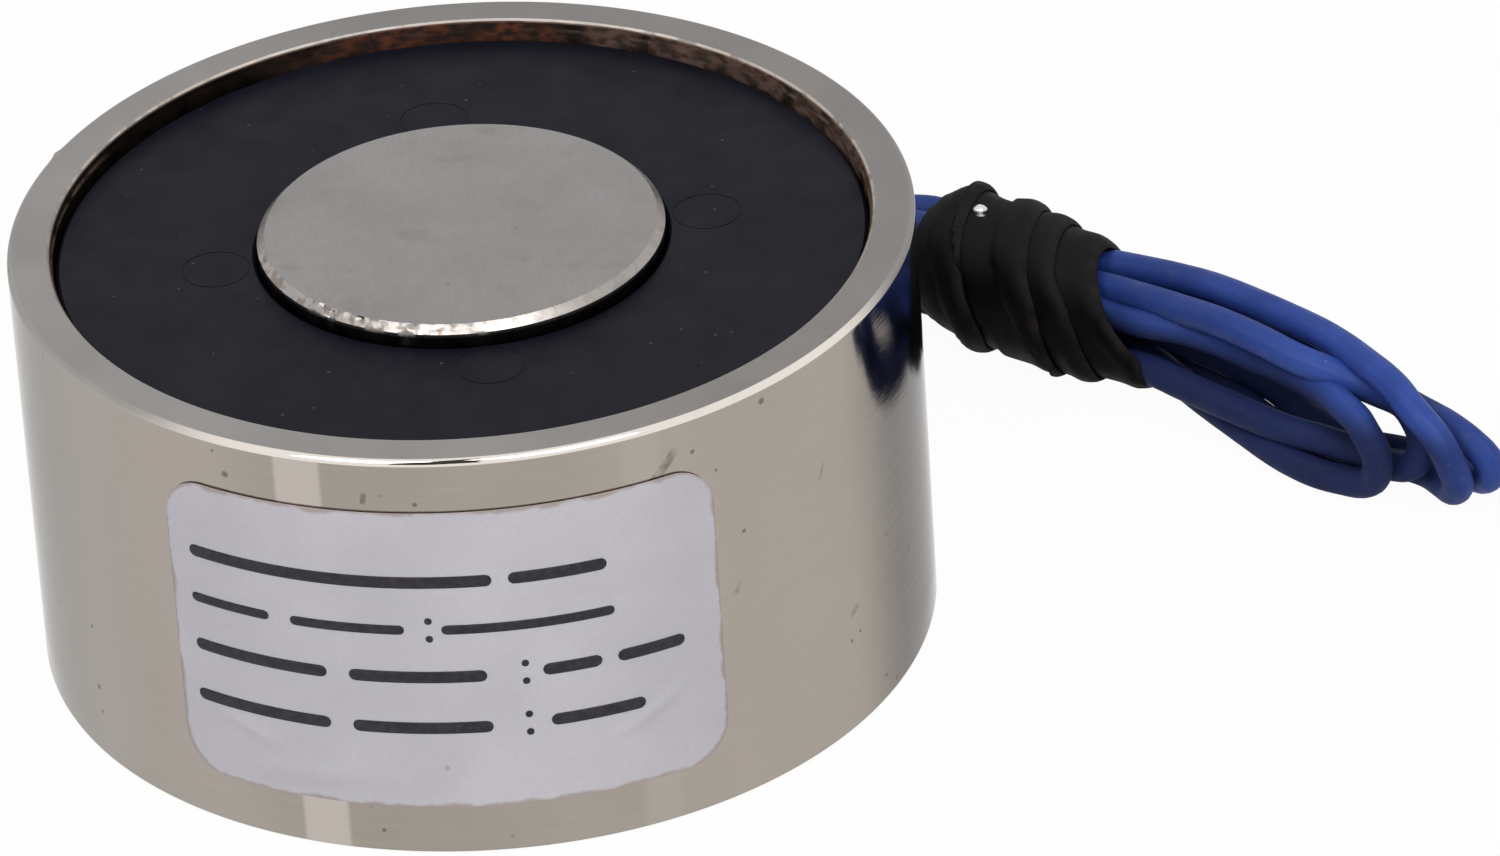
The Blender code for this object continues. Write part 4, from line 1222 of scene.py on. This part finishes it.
def makeFloor():
    shape = bmesh.new()
    bmesh.ops.create_grid(shape, x_segments=8, y_segments=8, size=sweep["half"])
    floor = finishMesh("floor", shape, 30)
    floor.location.z = -sweep["below"]
    made = Finish("white paper sweep", 0.9, 0.0, Specular_IOR_Level=0.1)
    made.colour(made.cloudy(made.noise(0.02, 3.0), sweep["body"]))
    path = made.node("LightPath").outputs
    seen = made.most(path["Is Camera Ray"], path["Is Glossy Ray"], path["Is Transmission Ray"])
    mixer = made.node("MixShader")
    made.feed(mixer.inputs[0], made.times(seen, sweep["glow"]))
    made.feed(mixer.inputs[1], made.shader.outputs[0])
    made.feed(mixer.inputs[2], made.node("Emission").outputs[0])
    made.feed(made.tree.nodes["Material Output"].inputs["Surface"], mixer.outputs[0])
    made.onto(floor)


# Studio: an even pale room with two soft lamps, up to the left and to the right.
studio = {
    "dim": 0.45, "away": 0.6,
    "lamps": [
        {"name": "left_lamp", "turn": -40, "rise": 55, "size": (0.18, 0.30), "power": 1.1},
        {"name": "right_lamp", "turn": 25, "rise": 54, "size": (0.283, 0.30), "power": 1.4},
    ],
    "gap": {"turn": -11.5, "half": 11, "low": 20, "high": 84, "dark": 0.95},
}


def studioWay(turn, rise):
    turn, rise = math.radians(turn), math.radians(rise)
    return Vector((math.sin(turn) * math.cos(rise), -math.cos(turn) * math.cos(rise), math.sin(rise)))


# 1 in the part of the sky between the lamps that the metal mirrors as a dark gap.
def skyGap(made):
    place = made.node("SeparateXYZ")
    made.feed(place.inputs[0], made.node("TexCoord").outputs["Generated"])
    x, y, z = place.outputs
    gap = studio["gap"]
    turn = made.calc("ARCTAN2", x, made.times(y, -1.0))
    off = made.calc("ABSOLUTE", made.minus(turn, math.radians(gap["turn"])))
    return made.times(
        made.calc("LESS_THAN", off, math.radians(gap["half"])),
        made.calc("GREATER_THAN", z, math.sin(math.radians(gap["low"]))),
        made.calc("LESS_THAN", z, math.sin(math.radians(gap["high"]))))


# The room is white where it is seen or mirrored, apart from the gap, and lights the rest dimly.
def makeRoom():
    world = bpy.data.worlds.new("studio")
    bpy.context.scene.world = world
    world.use_nodes = True
    made = Nodes(world.node_tree)
    path = made.node("LightPath").outputs
    mirrored = made.minus(1.0, made.times(skyGap(made), studio["gap"]["dark"]))
    mirrored = made.times(path["Is Glossy Ray"], mirrored)
    direct = made.most(path["Is Camera Ray"], path["Is Transmission Ray"])
    plain = made.minus(1.0, made.most(direct, path["Is Glossy Ray"]))
    strength = made.most(direct, made.plus(mirrored, made.times(plain, studio["dim"])))
    sky = made.tree.nodes["Background"]
    sky.inputs["Color"].default_value = rgb(1.0, 1.0, 1.0)
    made.feed(sky.inputs["Strength"], strength)


def makeLamps():
    for lamp in studio["lamps"]:
        data = bpy.data.lights.new(lamp["name"], "AREA")
        data.shape = "RECTANGLE"
        data.size, data.size_y = lamp["size"]
        data.energy = lamp["power"]
        obj = bpy.data.objects.new(lamp["name"], data)
        bpy.context.scene.collection.objects.link(obj)
        way = studioWay(lamp["turn"], lamp["rise"])
        obj.location = way * studio["away"]
        obj.rotation_mode = "QUATERNION"
        obj.rotation_quaternion = way.to_track_quat("Z", "Y")


bpy.context.scene.view_settings.view_transform = "Standard"
aimCamera()
makeFloor()
makeRoom()
makeLamps()

leadA, lineA = makeLead("a", 1, hankRoute(leadARuns))
leadB, lineB = makeLead("b", -1, hankRoute(leadBRuns))
print("stage 2: the leads lie in their hank")

cupShell = makeCup()
poleBody = makeCore()
bobbinFace = makeBobbin()
woundTape = makeTape([lineA, lineB])
labelSheet = makeLabel()
printed = makePrint()
tipA = makeTip("a", lineA[-1], onRoll(*tip["endA"]))
tipB = makeTip("b", lineB[-1], onRoll(*tip["endB"]))
print("stage 3: the pieces are made")

insulationFinish().onto(leadA, leadB)
nickelFinish().onto(cupShell)
poleFinish().onto(poleBody)
bobbinFinish().onto(bobbinFace)
tapeFinish().onto(woundTape)
paperFinish().onto(labelSheet)
inkFinish().onto(printed)
tinFinish().onto(tipA, tipB)
finishHidden()
print("stage 4: the finishes are on")
